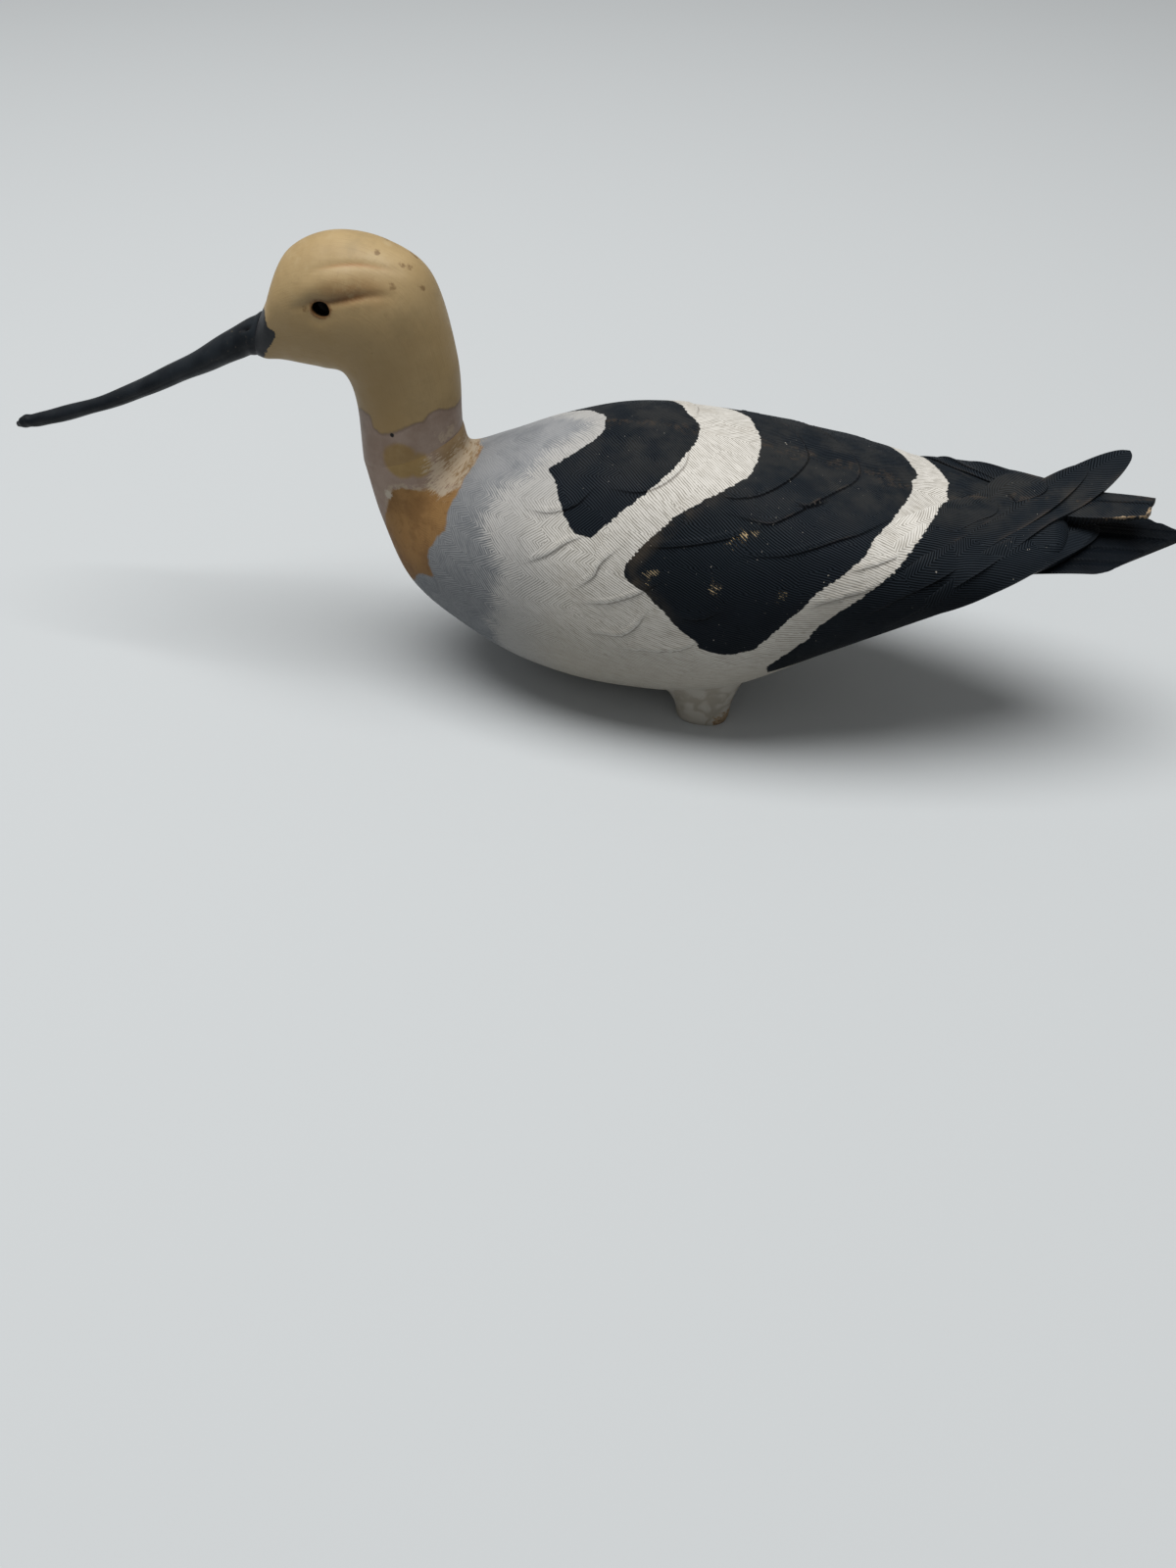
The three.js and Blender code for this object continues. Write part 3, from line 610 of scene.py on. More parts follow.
# Places along each long feather, from its root: [share, turn] of the body, or [along, side, up] in the air.
LEFT_QUILLS = [
    [[0.710, 30], [0.775, 22], [0.838, 8], [0.885, 3]],
    [[0.697, 65], [0.763, 37], [0.827, 15], [0.885, 0], [0.935, 0.075, 0.862], [0.980, 0.065, 0.882]],
    [[0.704, 87], [0.780, 57], [0.850, 29], [0.915, 13], [0.975, 0.01, 0.862], [1.035, 0.32, 0.899]],
    [[0.740, 101], [0.813, 57], [0.874, 31.5], [0.950, 9.6], [1.012, 0.11, 0.864], [1.093, 0.455, 0.925]],
    [[0.740, 112], [0.813, 89], [0.874, 68], [0.940, 57], [1.000, -0.27, 0.790], [1.056, -0.05, 0.790]],
]
RIGHT_QUILLS = [
    [[0.704, -96], [0.780, -70], [0.850, -46], [0.915, -30], [1.020, 0.06, 0.846]],
    [[0.740, -108], [0.813, -78], [0.874, -54], [0.950, -33], [1.012, 0.05, 0.838], [1.118, -0.08, 0.884]],
    [[0.740, -120], [0.813, -98], [0.874, -78], [0.940, -64], [1.000, 0.29, 0.785], [1.050, 0.10, 0.785]],
]
QUILL_HALF_WIDTHS = [5.9, 6.2, 5.7, 7.6, 6.5]
QUILL_THICKNESS, QUILL_RISE, BEDDED, SUNK = 2.6, 0.45, 4.0, 0.35
BROKEN_QUILL = 3
FAR_LEAN = 16.0          # degrees that the first right feather leans in, so its upper edge is in the back


def long_feather(name, blade, broken=False):
    """A feather of the wing or tail. A broken one is bare wood along its near edge, towards the tip."""
    points, along, off, half, share, across = blade
    rings, sides = off.shape
    points, faces = closed(points.reshape(-1, 3), rings, sides)
    grid = ring_faces(rings, sides)
    half, share = half[:, None], share[:, None]
    values = paint_near(points[:rings * sides])
    values["rim"] = np.exp(-half * (1 - np.abs(across)) / RIM_REACH).ravel()
    if broken:
        at_edge = ease((across - 0.86) / 0.12) * ease((share - 0.855) / 0.05)
        at_end = ease((share - 0.985) / 0.01) * ease((across + 0.1) / 0.3)
        values["bare"] = np.maximum(at_edge, at_end).ravel()
        # A crack along the broken feather, drawn as a dark line: painted shade in the crack.
        crack = np.exp(-((across + 0.2) / 0.07) ** 2) * ease((share - 0.84) / 0.05)
        values["crease"] = crack.ravel()
    barbs = np.stack([np.repeat(along, sides)[grid], off.ravel()[grid]], -1)
    return piece(name, points, faces, barbs=barbs, vertex=values)


long_feathers = []
for side, quills, word in ((1, RIGHT_QUILLS, "right"), (-1, LEFT_QUILLS, "left")):
    in_air = [-0.2, 0 if side > 0 else -0.3, 1]
    first = len(LEFT_QUILLS) - len(quills)
    for order, places in enumerate(quills):
        size = first + order
        course, reach = [], []
        for row, place in enumerate(places):
            is_tip = row == len(places) - 1
            if len(place) == 3:
                course.append([*at(*place), *in_air])
                reach.append(0.4 * QUILL_THICKNESS if is_tip else BEDDED)
                continue
            out = out_of(BODY, place[0], place[1] + (FAR_LEAN if side > 0 and order == 0 else 0))
            lift = -QUILL_THICKNESS if row == 0 else (len(quills) - 1 - order) * QUILL_RISE - SUNK
            course.append([*(on_form(BODY, *place) + lift * out), *out])
            reach.append(BEDDED)
        broken = side > 0 and size == BROKEN_QUILL
        blade = quill(np.array(course), QUILL_HALF_WIDTHS[size], QUILL_THICKNESS, reach, broken)
        long_feathers.append(long_feather(f"{word}_wing_feather_{order + 1}", blade, broken))

# The tail: a pointed plate in layers, each of which leaves one more pair of feathers uncovered.
TAIL_SPREAD, TAIL_THICKNESS, TAIL_POINT, TAIL_STEP, TAIL_CROWN = 43.0, 2.8, 26.0, 0.6, 1.2
TAIL_ROOT, TAIL_TIP, TAIL_HEIGHTS = 0.90 * BODY_LENGTH, 1.174 * BODY_LENGTH, (0.715, 0.763, 0.768)
TAIL_LAYERS = (0.76, 0.5, 0.22)


def tail_plate():
    """The whole tail as one mesh, with a step at the edge of each feather and a low shaft in its middle.
    Gives the same things as quill."""
    rings, top_count, bottom_count = 150, 121, 21
    shaft_height, shaft_reach, notch, rounded, thinning = 0.12, 0.4, 0.7, 0.5, 0.4
    across = np.array([*np.linspace(-1, 1, top_count), *np.linspace(0.96, -0.96, bottom_count)])
    upper = np.arange(len(across)) < top_count
    x = TAIL_ROOT + (TAIL_TIP - TAIL_ROOT) * np.sin(np.linspace(0, np.pi / 2, rings))
    share = (x - TAIL_ROOT) / (TAIL_TIP - TAIL_ROOT)
    half = TAIL_SPREAD / 2 * np.clip((TAIL_TIP - x) / TAIL_POINT, 0.03, 1)
    half = half - notch * np.exp(-((TAIL_TIP - TAIL_POINT - x) / 1.5) ** 2)
    middle = between(np.array(TAIL_HEIGHTS)[:, None] * BACK_HEIGHT, share)
    side = across * half[:, None]
    level = np.abs(side) / (TAIL_SPREAD / 2)
    height = -TAIL_CROWN * level ** 2
    shaft = np.zeros_like(height)
    edges = [1.0, *TAIL_LAYERS, 0.0]
    for outer, inner in zip(edges[:-1], edges[1:]):
        inside = (level <= outer) & (level > inner)
        shaft = np.where(inside, np.abs(level - 0.65 * inner - 0.35 * outer) * TAIL_SPREAD / 2, shaft)
        if inner > 0:
            height += TAIL_STEP * ease((inner - level) * TAIL_SPREAD / 2 / 0.5)
    height += shaft_height * np.exp(-(shaft / shaft_reach) ** 2)
    rounding = rounded * np.exp(-half[:, None] * (1 - np.abs(across)) / rounded)
    thick = TAIL_THICKNESS * (1 - thinning * share)
    z = middle + np.where(upper, height - rounding, -thick[:, None] * (1 - 0.1 * np.abs(across)))
    return np.stack([np.broadcast_to(x[:, None], z.shape), side, z], -1), x, shaft, half, share, across


long_feathers.append(long_feather("tail", tail_plate()))
covert_places = ((0.88, 0, 0.80), (0.95, 0, 0.783), (1.022, 0, 0.766))
covert_course = np.array([[*at(*place), -0.2, 0, 1] for place in covert_places])
covert = quill(covert_course, 0.36 * TAIL_SPREAD, 2 * TAIL_THICKNESS, [BEDDED] * 3, round_from=0.35)
long_feathers.append(long_feather("tail_covert", covert))


# Thighs

THIGH_SPREAD, THIGH_LENGTH, THIGH_WIDTH, THIGH_PLACE = 47.0, 19.0, 14.0, 0.542
lower_skin = BVHTree.FromPolygons(body_bare.tolist(), ring_faces(BODY_RINGS, BODY_SIDES).tolist())


def thigh(name, side):
    """A stub that is flat on the ground and flares softly into the belly."""
    sides, rings, boxy, flare, lean = 96, 40, 0.85, 1.75, [1.5, -side * 2.5]
    knee_height, shoulder_out, bevel_size, worn_place = 0.62, 0.55, 0.06, [8, side * 3, 1]
    angle = 2 * np.pi * np.arange(sides) / sides
    shape = np.stack([np.cos(angle), np.sin(angle)], 1)
    shape = np.sign(shape) * np.abs(shape) ** boxy * [THIGH_LENGTH / 2, side * THIGH_WIDTH / 2]
    centre = np.array([THIGH_PLACE * BODY_LENGTH, side * THIGH_SPREAD / 2])
    foot = np.column_stack([centre + shape, np.zeros(sides)])
    top = []
    for x, y in centre + lean + shape * flare:
        hit = lower_skin.ray_cast(Vector((x, y, -5)), Vector((0, 0, 1)))[0]
        top.append([x, y, hit.z + 0.25])
    top = np.array(top)
    share = np.linspace(0, 1, rings)[:, None, None]
    knee = foot + top * [0, 0, knee_height]
    shoulder = foot + (top - foot) * [shoulder_out, shoulder_out, 1]
    points = ((1 - share) ** 3 * foot + 3 * (1 - share) ** 2 * share * knee
              + 3 * (1 - share) * share ** 2 * shoulder + share ** 3 * top)
    bevel = bevel_size * np.exp(-share * rings / 1.2)
    points = points - np.column_stack([shape, np.zeros(sides)]) * bevel
    cap = points[-1] * [0.6, 0.6, 1] + np.array([*centre, 0]) * 0.4 + [0, 0, 3]
    points = np.concatenate([points, cap[None]]).reshape(-1, 3)
    values = paint_near(points)
    worn = np.linalg.norm(points - [*centre, 0] - worn_place, axis=1)
    values["bare"] = 1 - ease((worn - 3.5) / 4.9)
    points, faces = closed(points, rings + 1, sides)
    return piece(name, points, faces, vertex=values)


thighs = [thigh("left_thigh", -1), thigh("right_thigh", 1)]


# Head

HEAD_RINGS, HEAD_SIDES = 210, 168
head_share, head_turn, head_bare = skin(HEAD, HEAD_RINGS, HEAD_SIDES)
head_bare -= np.array([SEAT[0], 0, SEAT[1]]) * np.exp(-head_share[:, None] / 0.02)   # putty fills the joint


def trough(path, width):
    """How near each point of the head is to a path of pixels, one on each side: 1 on it."""
    spine = between(head_form.path(path), np.linspace(0, 1, 12 * len(path)))
    line = on_form(HEAD, spine[:, 0], spine[:, 1])
    fade = np.sin(np.pi * np.linspace(0.06, 0.94, len(line)))
    points = mirrored(head_bare, head_turn)
    gaps = (np.linalg.norm(points - centre, axis=1) for centre in line)
    return np.max([weight * np.exp(-(gap / width) ** 2) for gap, weight in zip(gaps, fade)], axis=0)


EYE_HEIGHT = 0.74        # of the eye hole, as a share of its length along the head
EYE = head_form.under((325.5, 317))
# Creases and ridges of the face: millimetres outwards, a width and a path of pixels.
FACE = {
    "brow_crease": (-0.85, 1.2, [(299, 316), (309, 312), (319, 308), (334, 309), (350, 306), (366, 303),
                                 (386, 302), (400, 303)]),
    "brow_ridge": (0.55, 2.8, [(300, 304), (315, 295), (335, 288), (360, 286), (385, 290)]),
    "crown_crease": (-0.42, 1.0, [(316, 277), (330, 273), (350, 270), (372, 271), (392, 274), (408, 278)]),
    "lower_lid": (-0.15, 1.4, [(312, 323), (325, 329), (342, 324)]),
    "socket": (-0.55, 4.0, [(305, 320), (325, 317), (350, 313)]),
    "cheek": (0.3, 9.0, [(345, 345), (375, 338), (400, 328)]),
}
face = {name: trough(path, width) for name, (_, width, path) in FACE.items()}
head_height = sum(out * face[name] for name, (out, _, _) in FACE.items())
head_points = head_bare + out_of(HEAD, head_share, head_turn) * head_height[:, None]
head_points, head_faces = closed(head_points, HEAD_RINGS, HEAD_SIDES)
# A stain along the brow crease, and a wider soft band above it where the brow ridge shades the crease: stain
# and painted shade.
stain = np.maximum(trough([(333, 310), (350, 306), (366, 303), (386, 302)], 1.5),
                   0.7 * trough([(325, 303), (345, 299), (372, 298), (392, 300)], 3.4))
on_head = (head_bare, head_turn, head_form)
head_values = {
    **{name: paint_distance(head_form, head_share, head_turn, edge, beyond)
       for name, (edge, beyond) in HEAD_PAINT.items()},
    "stain": stain, "hollow": face["brow_crease"], "crown": face["crown_crease"],
    "eye_gap": np.zeros(len(head_share)), "share": head_share, "turn": np.abs(head_turn),
    "disc": disc_distance(head_bare, head_turn),
    "nail": near_places(*on_head, NAIL_HOLE),
    "scrape": near_places(*on_head, *HEAD_SCRAPES),
    "spot": near_places(*on_head, *HEAD_SPOTS),
}
head = piece("carved_head", head_points, head_faces, replaces=("head",), vertex=head_values)


def cut(target, points, faces, name):
    """Cuts a solid out of a piece and applies the cut."""
    tool = add_object(name, points, faces)
    cutter = target.modifiers.new(name, "BOOLEAN")
    cutter.operation, cutter.object, cutter.solver = "DIFFERENCE", tool, "EXACT"
    whole = target.data
    ready = target.evaluated_get(bpy.context.evaluated_depsgraph_get())
    target.data = bpy.data.meshes.new_from_object(ready)
    target.modifiers.remove(cutter)
    bpy.data.meshes.remove(whole)
    bpy.data.objects.remove(tool)


EYE_BORE, EYE_DEPTH, EYE_SIDES = 6.0, 5.0, 48
EYE_AXIS = [0.6, 1, 0.75]  # shares of the way out of the head, so that the holes point further sideways
EYE_GAP = 3.0            # the smallest distance to an eye hole outside it
bore = EYE_BORE / 2
eye_profile = [(bore * 0.5, -EYE_DEPTH), (bore * 0.85, -EYE_DEPTH + 0.5), (bore * 0.97, -EYE_DEPTH + 1.3),
               (bore, 0.5), (bore + 0.1, 0.9), (bore + 0.3, 1.4), (bore + 0.5, 4)]
angle = 2 * np.pi * np.arange(EYE_SIDES) / EYE_SIDES
eye_rings = [np.column_stack([r * np.cos(angle), r * np.sin(angle), np.full(EYE_SIDES, z)])
             for r, z in eye_profile]
eye_points, eye_faces = closed(np.concatenate(eye_rings), len(eye_profile), EYE_SIDES)
eye_faces, _ = facing_out(eye_points, eye_faces)
for side in (1, -1):
    out = out_of(HEAD, EYE[0], side * EYE[1])
    place = on_form(HEAD, EYE[0], side * EYE[1]) - out * 0.5
    turn_to = Vector(out * EYE_AXIS).to_track_quat("Z", "Y").to_matrix()
    cut(head, (eye_points * [1, EYE_HEIGHT, 1]) @ np.array(turn_to).T + place, eye_faces, "eye_hole")

# The walls of the holes get values of their own, as the cut gives them those of other places.
count = len(head.data.vertices)


def stored(name):
    values = np.zeros(count, np.float32)
    head.data.attributes[name].data.foreach_get("value", values)
    return values


def store(name, values):
    head.data.attributes[name].data.foreach_set("value", values.astype(np.float32))


corner = np.zeros(3 * count)
head.data.vertices.foreach_get("co", corner)
corner = corner.reshape(-1, 3) / MM - ORIGIN
corner[:, 1] = -np.abs(corner[:, 1])
axis = unit(out_of(HEAD, *EYE) * EYE_AXIS)
gap = corner - on_form(HEAD, *EYE)
depth = -gap @ axis
in_hole = (np.linalg.norm(gap + depth[:, None] * axis, axis=1) < bore + 1.2) & (depth < 2 * EYE_DEPTH)
wall = in_hole & (np.abs(stored("share") - EYE[0]) > 0.12)
wall_values = dict(putty=PAINT_REACH, bill_paint=PAINT_REACH, disc=FAR, nail=FAR, scrape=FAR, spot=FAR,
                   stain=0.0, hollow=0.0, crown=0.0, share=EYE[0], turn=EYE[1])
for name, value in wall_values.items():
    store(name, np.where(wall, value, stored(name)))
beside = np.linalg.norm(gap / [1, 1, EYE_HEIGHT], axis=1)
# Deep in the hole the walls get no gap, so that they are painted black: painted shade inside the eye holes.
wall_gap = np.where(depth > EYE_GAP, 0.0, EYE_GAP)
store("eye_gap", np.where(wall, wall_gap, np.maximum(beside, EYE_GAP)))


# Bill

BILL_RINGS, BILL_SIDES = 200, 56
bill_share, bill_turn, bill_bare = skin(BILL, BILL_RINGS, BILL_SIDES)
NOSTRIL = (0.117, 44)
NOSTRIL_LENGTH, NOSTRIL_WIDTH, NOSTRIL_DEPTH = 5.0, 1.1, 0.9
MOUTH_TURN, MOUTH_DEPTH = 103, 0.16
sunken = np.zeros(len(bill_bare))
for side in (1, -1):
    back, centre, front = (on_form(BILL, NOSTRIL[0] + step, side * NOSTRIL[1]) for step in (-0.03, 0, 0.03))
    ahead = unit(front - back)
    gap = bill_bare - centre
    along = gap @ ahead
    off = np.linalg.norm(gap - along[:, None] * ahead, axis=1)
    r = np.sqrt((along / (NOSTRIL_LENGTH / 2)) ** 2 + (off / (NOSTRIL_WIDTH / 2 + 0.2)) ** 2)
    sunken += NOSTRIL_DEPTH * (1 - ease(r / 1.25))
mouth = np.exp(-((np.abs(bill_turn) - MOUTH_TURN) / 3.0) ** 2) * ease((0.93 - bill_share) / 0.3)
carving = (0.10 * np.sin(bill_share * 31 + 1) + 0.08 * np.sin(bill_share * 57 + np.radians(bill_turn) * 2))
bill_height = carving - sunken - MOUTH_DEPTH * mouth
bill_points = bill_bare + out_of(BILL, bill_share, bill_turn) * bill_height[:, None]
bill_points, bill_faces = closed(bill_points, BILL_RINGS, BILL_SIDES)
# How sunken the bill is at the nostrils and along the mouth line, for painted shade there.
bill_values = {"share": bill_share, "turn": np.abs(bill_turn), "hollow": np.clip(sunken + mouth * 0.3, 0, 1)}
bill = piece("carved_bill", bill_points, bill_faces, replaces=("bill",), vertex=bill_values)


# Materials

TONE = 0.66              # of every paint below, so that white is as light as the floor
BARB_PITCH = 1.15        # along the shaft, in millimetres
BARB_SLANT = 1.15        # how far a barb leads towards the tip for each millimetre outwards


class Value:
    """A number or colour that a material works out at each place, with plain arithmetic."""

    def __init__(self, paint, socket):
        self.paint, self.socket = paint, socket

    def math(self, kind, other=0.0):
        return self.paint.node("Math", 0, {0: self, 1: other}, operation=kind)

    def __add__(self, other):
        return self.math("ADD", other)

    def __mul__(self, other):
        return self.math("MULTIPLY", other)

    def __abs__(self):
        return self.math("ABSOLUTE")

    def most(self, other):
        return self.math("MAXIMUM", other)

    def span(self, low, high, to_low=0.0, to_high=1.0):
        """A soft step from low to high."""
        if low > high:
            low, high, to_low, to_high = high, low, to_high, to_low
        ends = {"Value": self, "From Min": low, "From Max": high, "To Min": to_low, "To Max": to_high}
        return self.paint.node("MapRange", "Result", ends, interpolation_type="SMOOTHSTEP")


class Paint:
    """A material and its nodes."""

    def __init__(self, name):
        self.material = bpy.data.materials.new(name)
        self.material.use_nodes = True
        self.nodes = self.material.node_tree.nodes
        self.place = self.node("TexCoord", "Object", {})

    def node(self, kind, output, inputs, **settings):
        """The numbered or named output of a new node."""
        node = self.nodes.new("ShaderNode" + kind)
        for key, value in settings.items():
            setattr(node, key, value)
        for key, value in inputs.items():
            self.feed(node.inputs[key], value)
        return Value(self, node.outputs[output])

    def feed(self, socket, value):
        if isinstance(value, Value):
            self.material.node_tree.links.new(value.socket, socket)
        elif isinstance(value, tuple):
            socket.default_value = (*value, 1)[:len(socket.default_value)]
        else:
            socket.default_value = value

    def mix(self, share, under, over, name=""):
        under, over = (tuple(np.multiply(c, TONE).tolist()) if isinstance(c, tuple) else c
                       for c in (under, over))
        return self.node("Mix", 2, {"Factor": share, 6: under, 7: over}, data_type="RGBA", label=name)

    def coats(self, colour, **coats):
        """A colour under more coats. Each is how far it covers, and its own colour."""
        for name, (share, over) in coats.items():
            colour = self.mix(share, colour, over, name)
        return colour

    def noise(self, size, detail=3.0, rough=0.55, place=None):
        """Noise with features of about size millimetres, near 0.5 on average."""
        scale = 1 / size if place else 1 / (size * MM)
        return self.node("TexNoise", "Fac", {"Vector": place or self.place, "Scale": scale,
                                             "Detail": detail, "Roughness": rough})

    def sway(self, reach, *noise):
        """Noise round zero, with what else noise takes after its reach."""
        return (self.noise(*noise) + -0.5) * reach

    def read(self, name):
        return self.node("Attribute", "Fac", {}, attribute_name=name)

    def vector(self, *parts):
        return self.node("CombineXYZ", 0, dict(enumerate(parts)))

    def finish(self, colour, roughness, height, shine, *objects):
        """height is in millimetres."""
        bump = self.node("Bump", 0, {"Height": height, "Distance": MM, "Strength": 1.0})
        shader = self.nodes["Principled BSDF"].inputs
        for key, value in (("Base Color", colour), ("Roughness", roughness), ("Normal", bump),
                           ("Specular IOR Level", shine)):
            self.feed(shader[key], value)
        for made in objects:
            made.data.materials.clear()
            made.data.materials.append(self.material)


def neck_filler(p, patch, soft):
    """The mauve putty of the neck with the ochre filler in it, and that ochre alone."""
    shade = patch.span(0.3, 0.7)
    ochre = p.mix(shade, (0.30, 0.19, 0.075), (0.39, 0.27, 0.12))
    putty = p.mix(shade, (0.30, 0.215, 0.165), (0.40, 0.31, 0.255))
    return p.mix((p.read("disc") + soft * 0.7).span(0.9, -1.2), putty, ochre), ochre


def scraped(p, share, turn, length):
    """Millimetres to the scraped places, broken up into streaks along the neck."""
    streaks = p.vector(share * length, turn * 0.10, turn * 0.04)
    return p.read("scrape") + p.sway(20.0, 1.0, 4, 0.7, streaks)


def bird_paint():
    p = Paint("bird_paint")
    share, turn, level, grey = (p.read(name) for name in ("share", "turn", "level", "grey"))
    grain, cloud, patch = p.noise(2.2, 5, 0.7), p.noise(26, 3), p.noise(11, 4, 0.6)

    # The barbs, and the foot and lip of each carved edge
    barbs = p.node("UVMap", 0, {}, uv_map="barbs")
    along, off = (p.node("SeparateXYZ", axis, {0: barbs}) for axis in (0, 1))
    outward = abs(off)
    phase = (outward * -BARB_SLANT + along + p.sway(3.0, 12, 2)).math("DIVIDE", BARB_PITCH)
    random_barb = p.node("TexWhiteNoise", "Value", {"W": phase.math("FLOOR")}, noise_dimensions="1D")
    crest = (phase.math("FRACT") * np.pi).math("SINE")
    hairs = p.noise(1.0, 3, 0.6, p.vector(phase * 0.9, outward * 0.22, share * 60))
    hairs = crest * 0.35 + hairs * 0.75
    edge = p.read("strength") * p.read("nearby").span(2.4, 1.4)
    # Painted shade, with some dirt, in the groove under each carved feather edge and in the crack.
    crease = p.read("crease").most(edge * abs(level + 0.15).span(0.5, 0.1))
    rim = p.read("rim").most(edge * level.span(0.1, 0.3) * level.span(0.9, 0.3))

    white = p.coats(
        p.mix(hairs.span(0.38, 0.68), (0.40, 0.38, 0.335), (0.80, 0.78, 0.73)),
        # darker and browner low on the flank: painted shade, with some dirt
        low=(turn.span(64, 120) * 0.65, (0.36, 0.325, 0.262)),
        blotches=(patch.span(0.50, 0.30) * 0.35, (0.47, 0.435, 0.375)),
        # painted shade and dirt in the grooves of the white
        crease=(crease * 0.45, (0.15, 0.12, 0.095)),
        rim=(rim * 0.5, (0.80, 0.79, 0.75)),
        # a grey wash beside the slate, made wide enough to darken the flank too: grey paint and painted
        # shade
        wash=(grey.span(29.0, 4.0) * 0.65, (0.40, 0.405, 0.41)),
        # painted shade on the side of the white band further back
        rear=(share.span(0.58, 0.72) * turn.span(38, 85) * 0.5, (0.28, 0.26, 0.225)),
        grime=(grain.span(0.60, 0.74) * p.noise(15, 2).span(0.48, 0.64) * 0.6, (0.24, 0.195, 0.15)),
    )
    slate = p.coats(
        p.mix(cloud.span(0.35, 0.65), (0.215, 0.23, 0.25), (0.325, 0.335, 0.35)),
        # darker down the side: painted shade
        side=(turn.span(24, 68) * 0.68, (0.155, 0.167, 0.18)),
        blotches=(patch.span(0.50, 0.32) * 0.35, (0.12, 0.135, 0.155)),
        hairs=(hairs.span(0.46, 0.76) * 0.42, (0.42, 0.43, 0.44)),
    )
    strokes = (hairs + -0.52) * 14.0 + p.sway(8.0, 14, 3)

    wing, chip = p.read("wing_patch"), p.read("chip")
    spine = abs(turn + p.sway(14.0, 12, 3)).span(2.0, 0.4) * grain.span(0.45, 0.62)
    rubbed = rim * turn.span(50, 20) * p.noise(9, 3).span(0.44, 0.64)
    border = abs(wing).span(5.0, 0.6) * share.span(0.54, 0.47) * wing.span(1.5, 0.5)
    flecks = p.noise(1.0, 2, 0.5).span(0.72, 0.77) * p.noise(17, 2).span(0.54, 0.66)
    crumbs = p.noise(0.9, 2, 0.5).span(0.745, 0.785) * chip.span(26.0, 12.0)
    to_chip = chip * 0.9 + hairs * 8.0 + p.noise(2.4, 4, 0.7) * 10.0
    chipped = to_chip.span(9.3, 8.8)
    black = p.coats(
        p.mix(cloud.span(0.4, 0.65), (0.0014, 0.0030, 0.0050), (0.0036, 0.0062, 0.0096)),
        hairs=(hairs.span(0.48, 0.80) * 0.35, (0.013, 0.016, 0.021)),
        # painted sheen: the crests of the barbs are lighter on the upper side
        crests=(crest.span(0.62, 0.98) * turn.span(115, 55) * 0.85, (0.026, 0.034, 0.044)),
        # lighter on the upper side: worn paint together with painted sheen of the light from above
        worn=(turn.span(46, 4) * patch.span(0.36, 0.66) * 0.55, (0.046, 0.046, 0.044)),
        rim=(rim * 0.3, (0.032, 0.037, 0.044)),
        spine=(spine * 0.25, (0.12, 0.085, 0.055)),
        rubbed=(rubbed * 0.35, (0.12, 0.09, 0.065)),
        # painted shade and dirt in the grooves of the black
        crease=(crease * 0.85, (0.0015, 0.002, 0.003)),
        border=(border * patch.span(0.35, 0.65), (0.060, 0.050, 0.040)),
        flecks=(flecks.most(crumbs * 0.7), (0.45, 0.42, 0.37)),
        near_chips=(to_chip.span(10.6, 8.4) * 0.35, (0.085, 0.062, 0.038)),
        chips=(chipped, (0.56, 0.43, 0.25)),
    )
    ragged = (random_barb + -0.5) * 0.5 + p.sway(1.5, 2.4, 4, 0.65)
    dark, *others = ((p.read(name) + ragged).span(0.16, -0.16)
                     for name in ("back_patch", "wing_patch", "rear_black"))
    for other in others:
        dark = dark.most(other)

    # The neck: rust paint below, mauve putty above, a scraped band between them.
    soft = p.sway(3.2, 6, 4, 0.65)
    rust = p.coats(
        p.mix(cloud.span(0.35, 0.66), (0.26, 0.132, 0.048), (0.34, 0.195, 0.078)),
        grain=(grain.span(0.50, 0.70) * 0.5, (0.20, 0.105, 0.042)),
        blotches=(patch.span(0.46, 0.66) * 0.55, (0.19, 0.10, 0.042)),
        # darker where the breast turns under: painted shade
        breast=(share.span(0.15, 0.23) * 0.65, (0.20, 0.125, 0.066)),
    )
    rust_top = p.read("rust_top") + soft
    in_putty = rust_top.span(0.6, -0.6)
    filler, ochre = neck_filler(p, patch, soft)
    scuffed = abs(rust_top + 0.6).span(1.5, 0.4) * p.noise(1.6, 5, 0.75).span(0.42, 0.55)
    marked = (p.read("mark") + p.noise(1.3, 3, 0.7) * 4.0).span(4.0, 3.2)
    wood = p.mix(p.noise(1.4, 4, 0.6).span(0.35, 0.7), (0.26, 0.175, 0.10), (0.50, 0.39, 0.265))
    colour = p.coats(
        white,
        slate=((grey + strokes).span(4.5, -2.5), slate),
        black=(dark, black),
        rust=((p.read("rust_side") + soft).span(0.4, -0.8), rust),
        filler=(in_putty, filler),
        nape=(turn.span(62, 35) * in_putty * 0.7, ochre),
        scraped=(scraped(p, share, turn, 200).span(4.6, 1.6) * 0.75, (0.60, 0.50, 0.37)),
        scuffed=(scuffed * turn.span(135, 110) * 0.6, (0.52, 0.44, 0.33)),
        mark=(marked * 0.85, (0.58, 0.52, 0.43)),
        bare=((p.read("bare") + p.sway(2.4, 2.2, 4, 0.7)).span(0.72, 0.86), wood),
    )
    height = (
        crest.math("POWER", 0.6) * share.span(0.10, 0.36) * (random_barb * 0.06 + 0.08)
        + p.noise(0.9, 3) * 0.03
        + edge * level.span(-0.2, 0.3) * 0.12
        + chipped * dark * -0.08
        + share.span(0.3, 0.15) * hairs * 0.06
    )
    roughness = p.noise(8, 3).span(0.3, 0.75, 0.46, 0.62)
    p.finish(colour, roughness, height, 0.04, body, *long_feathers, *thighs)


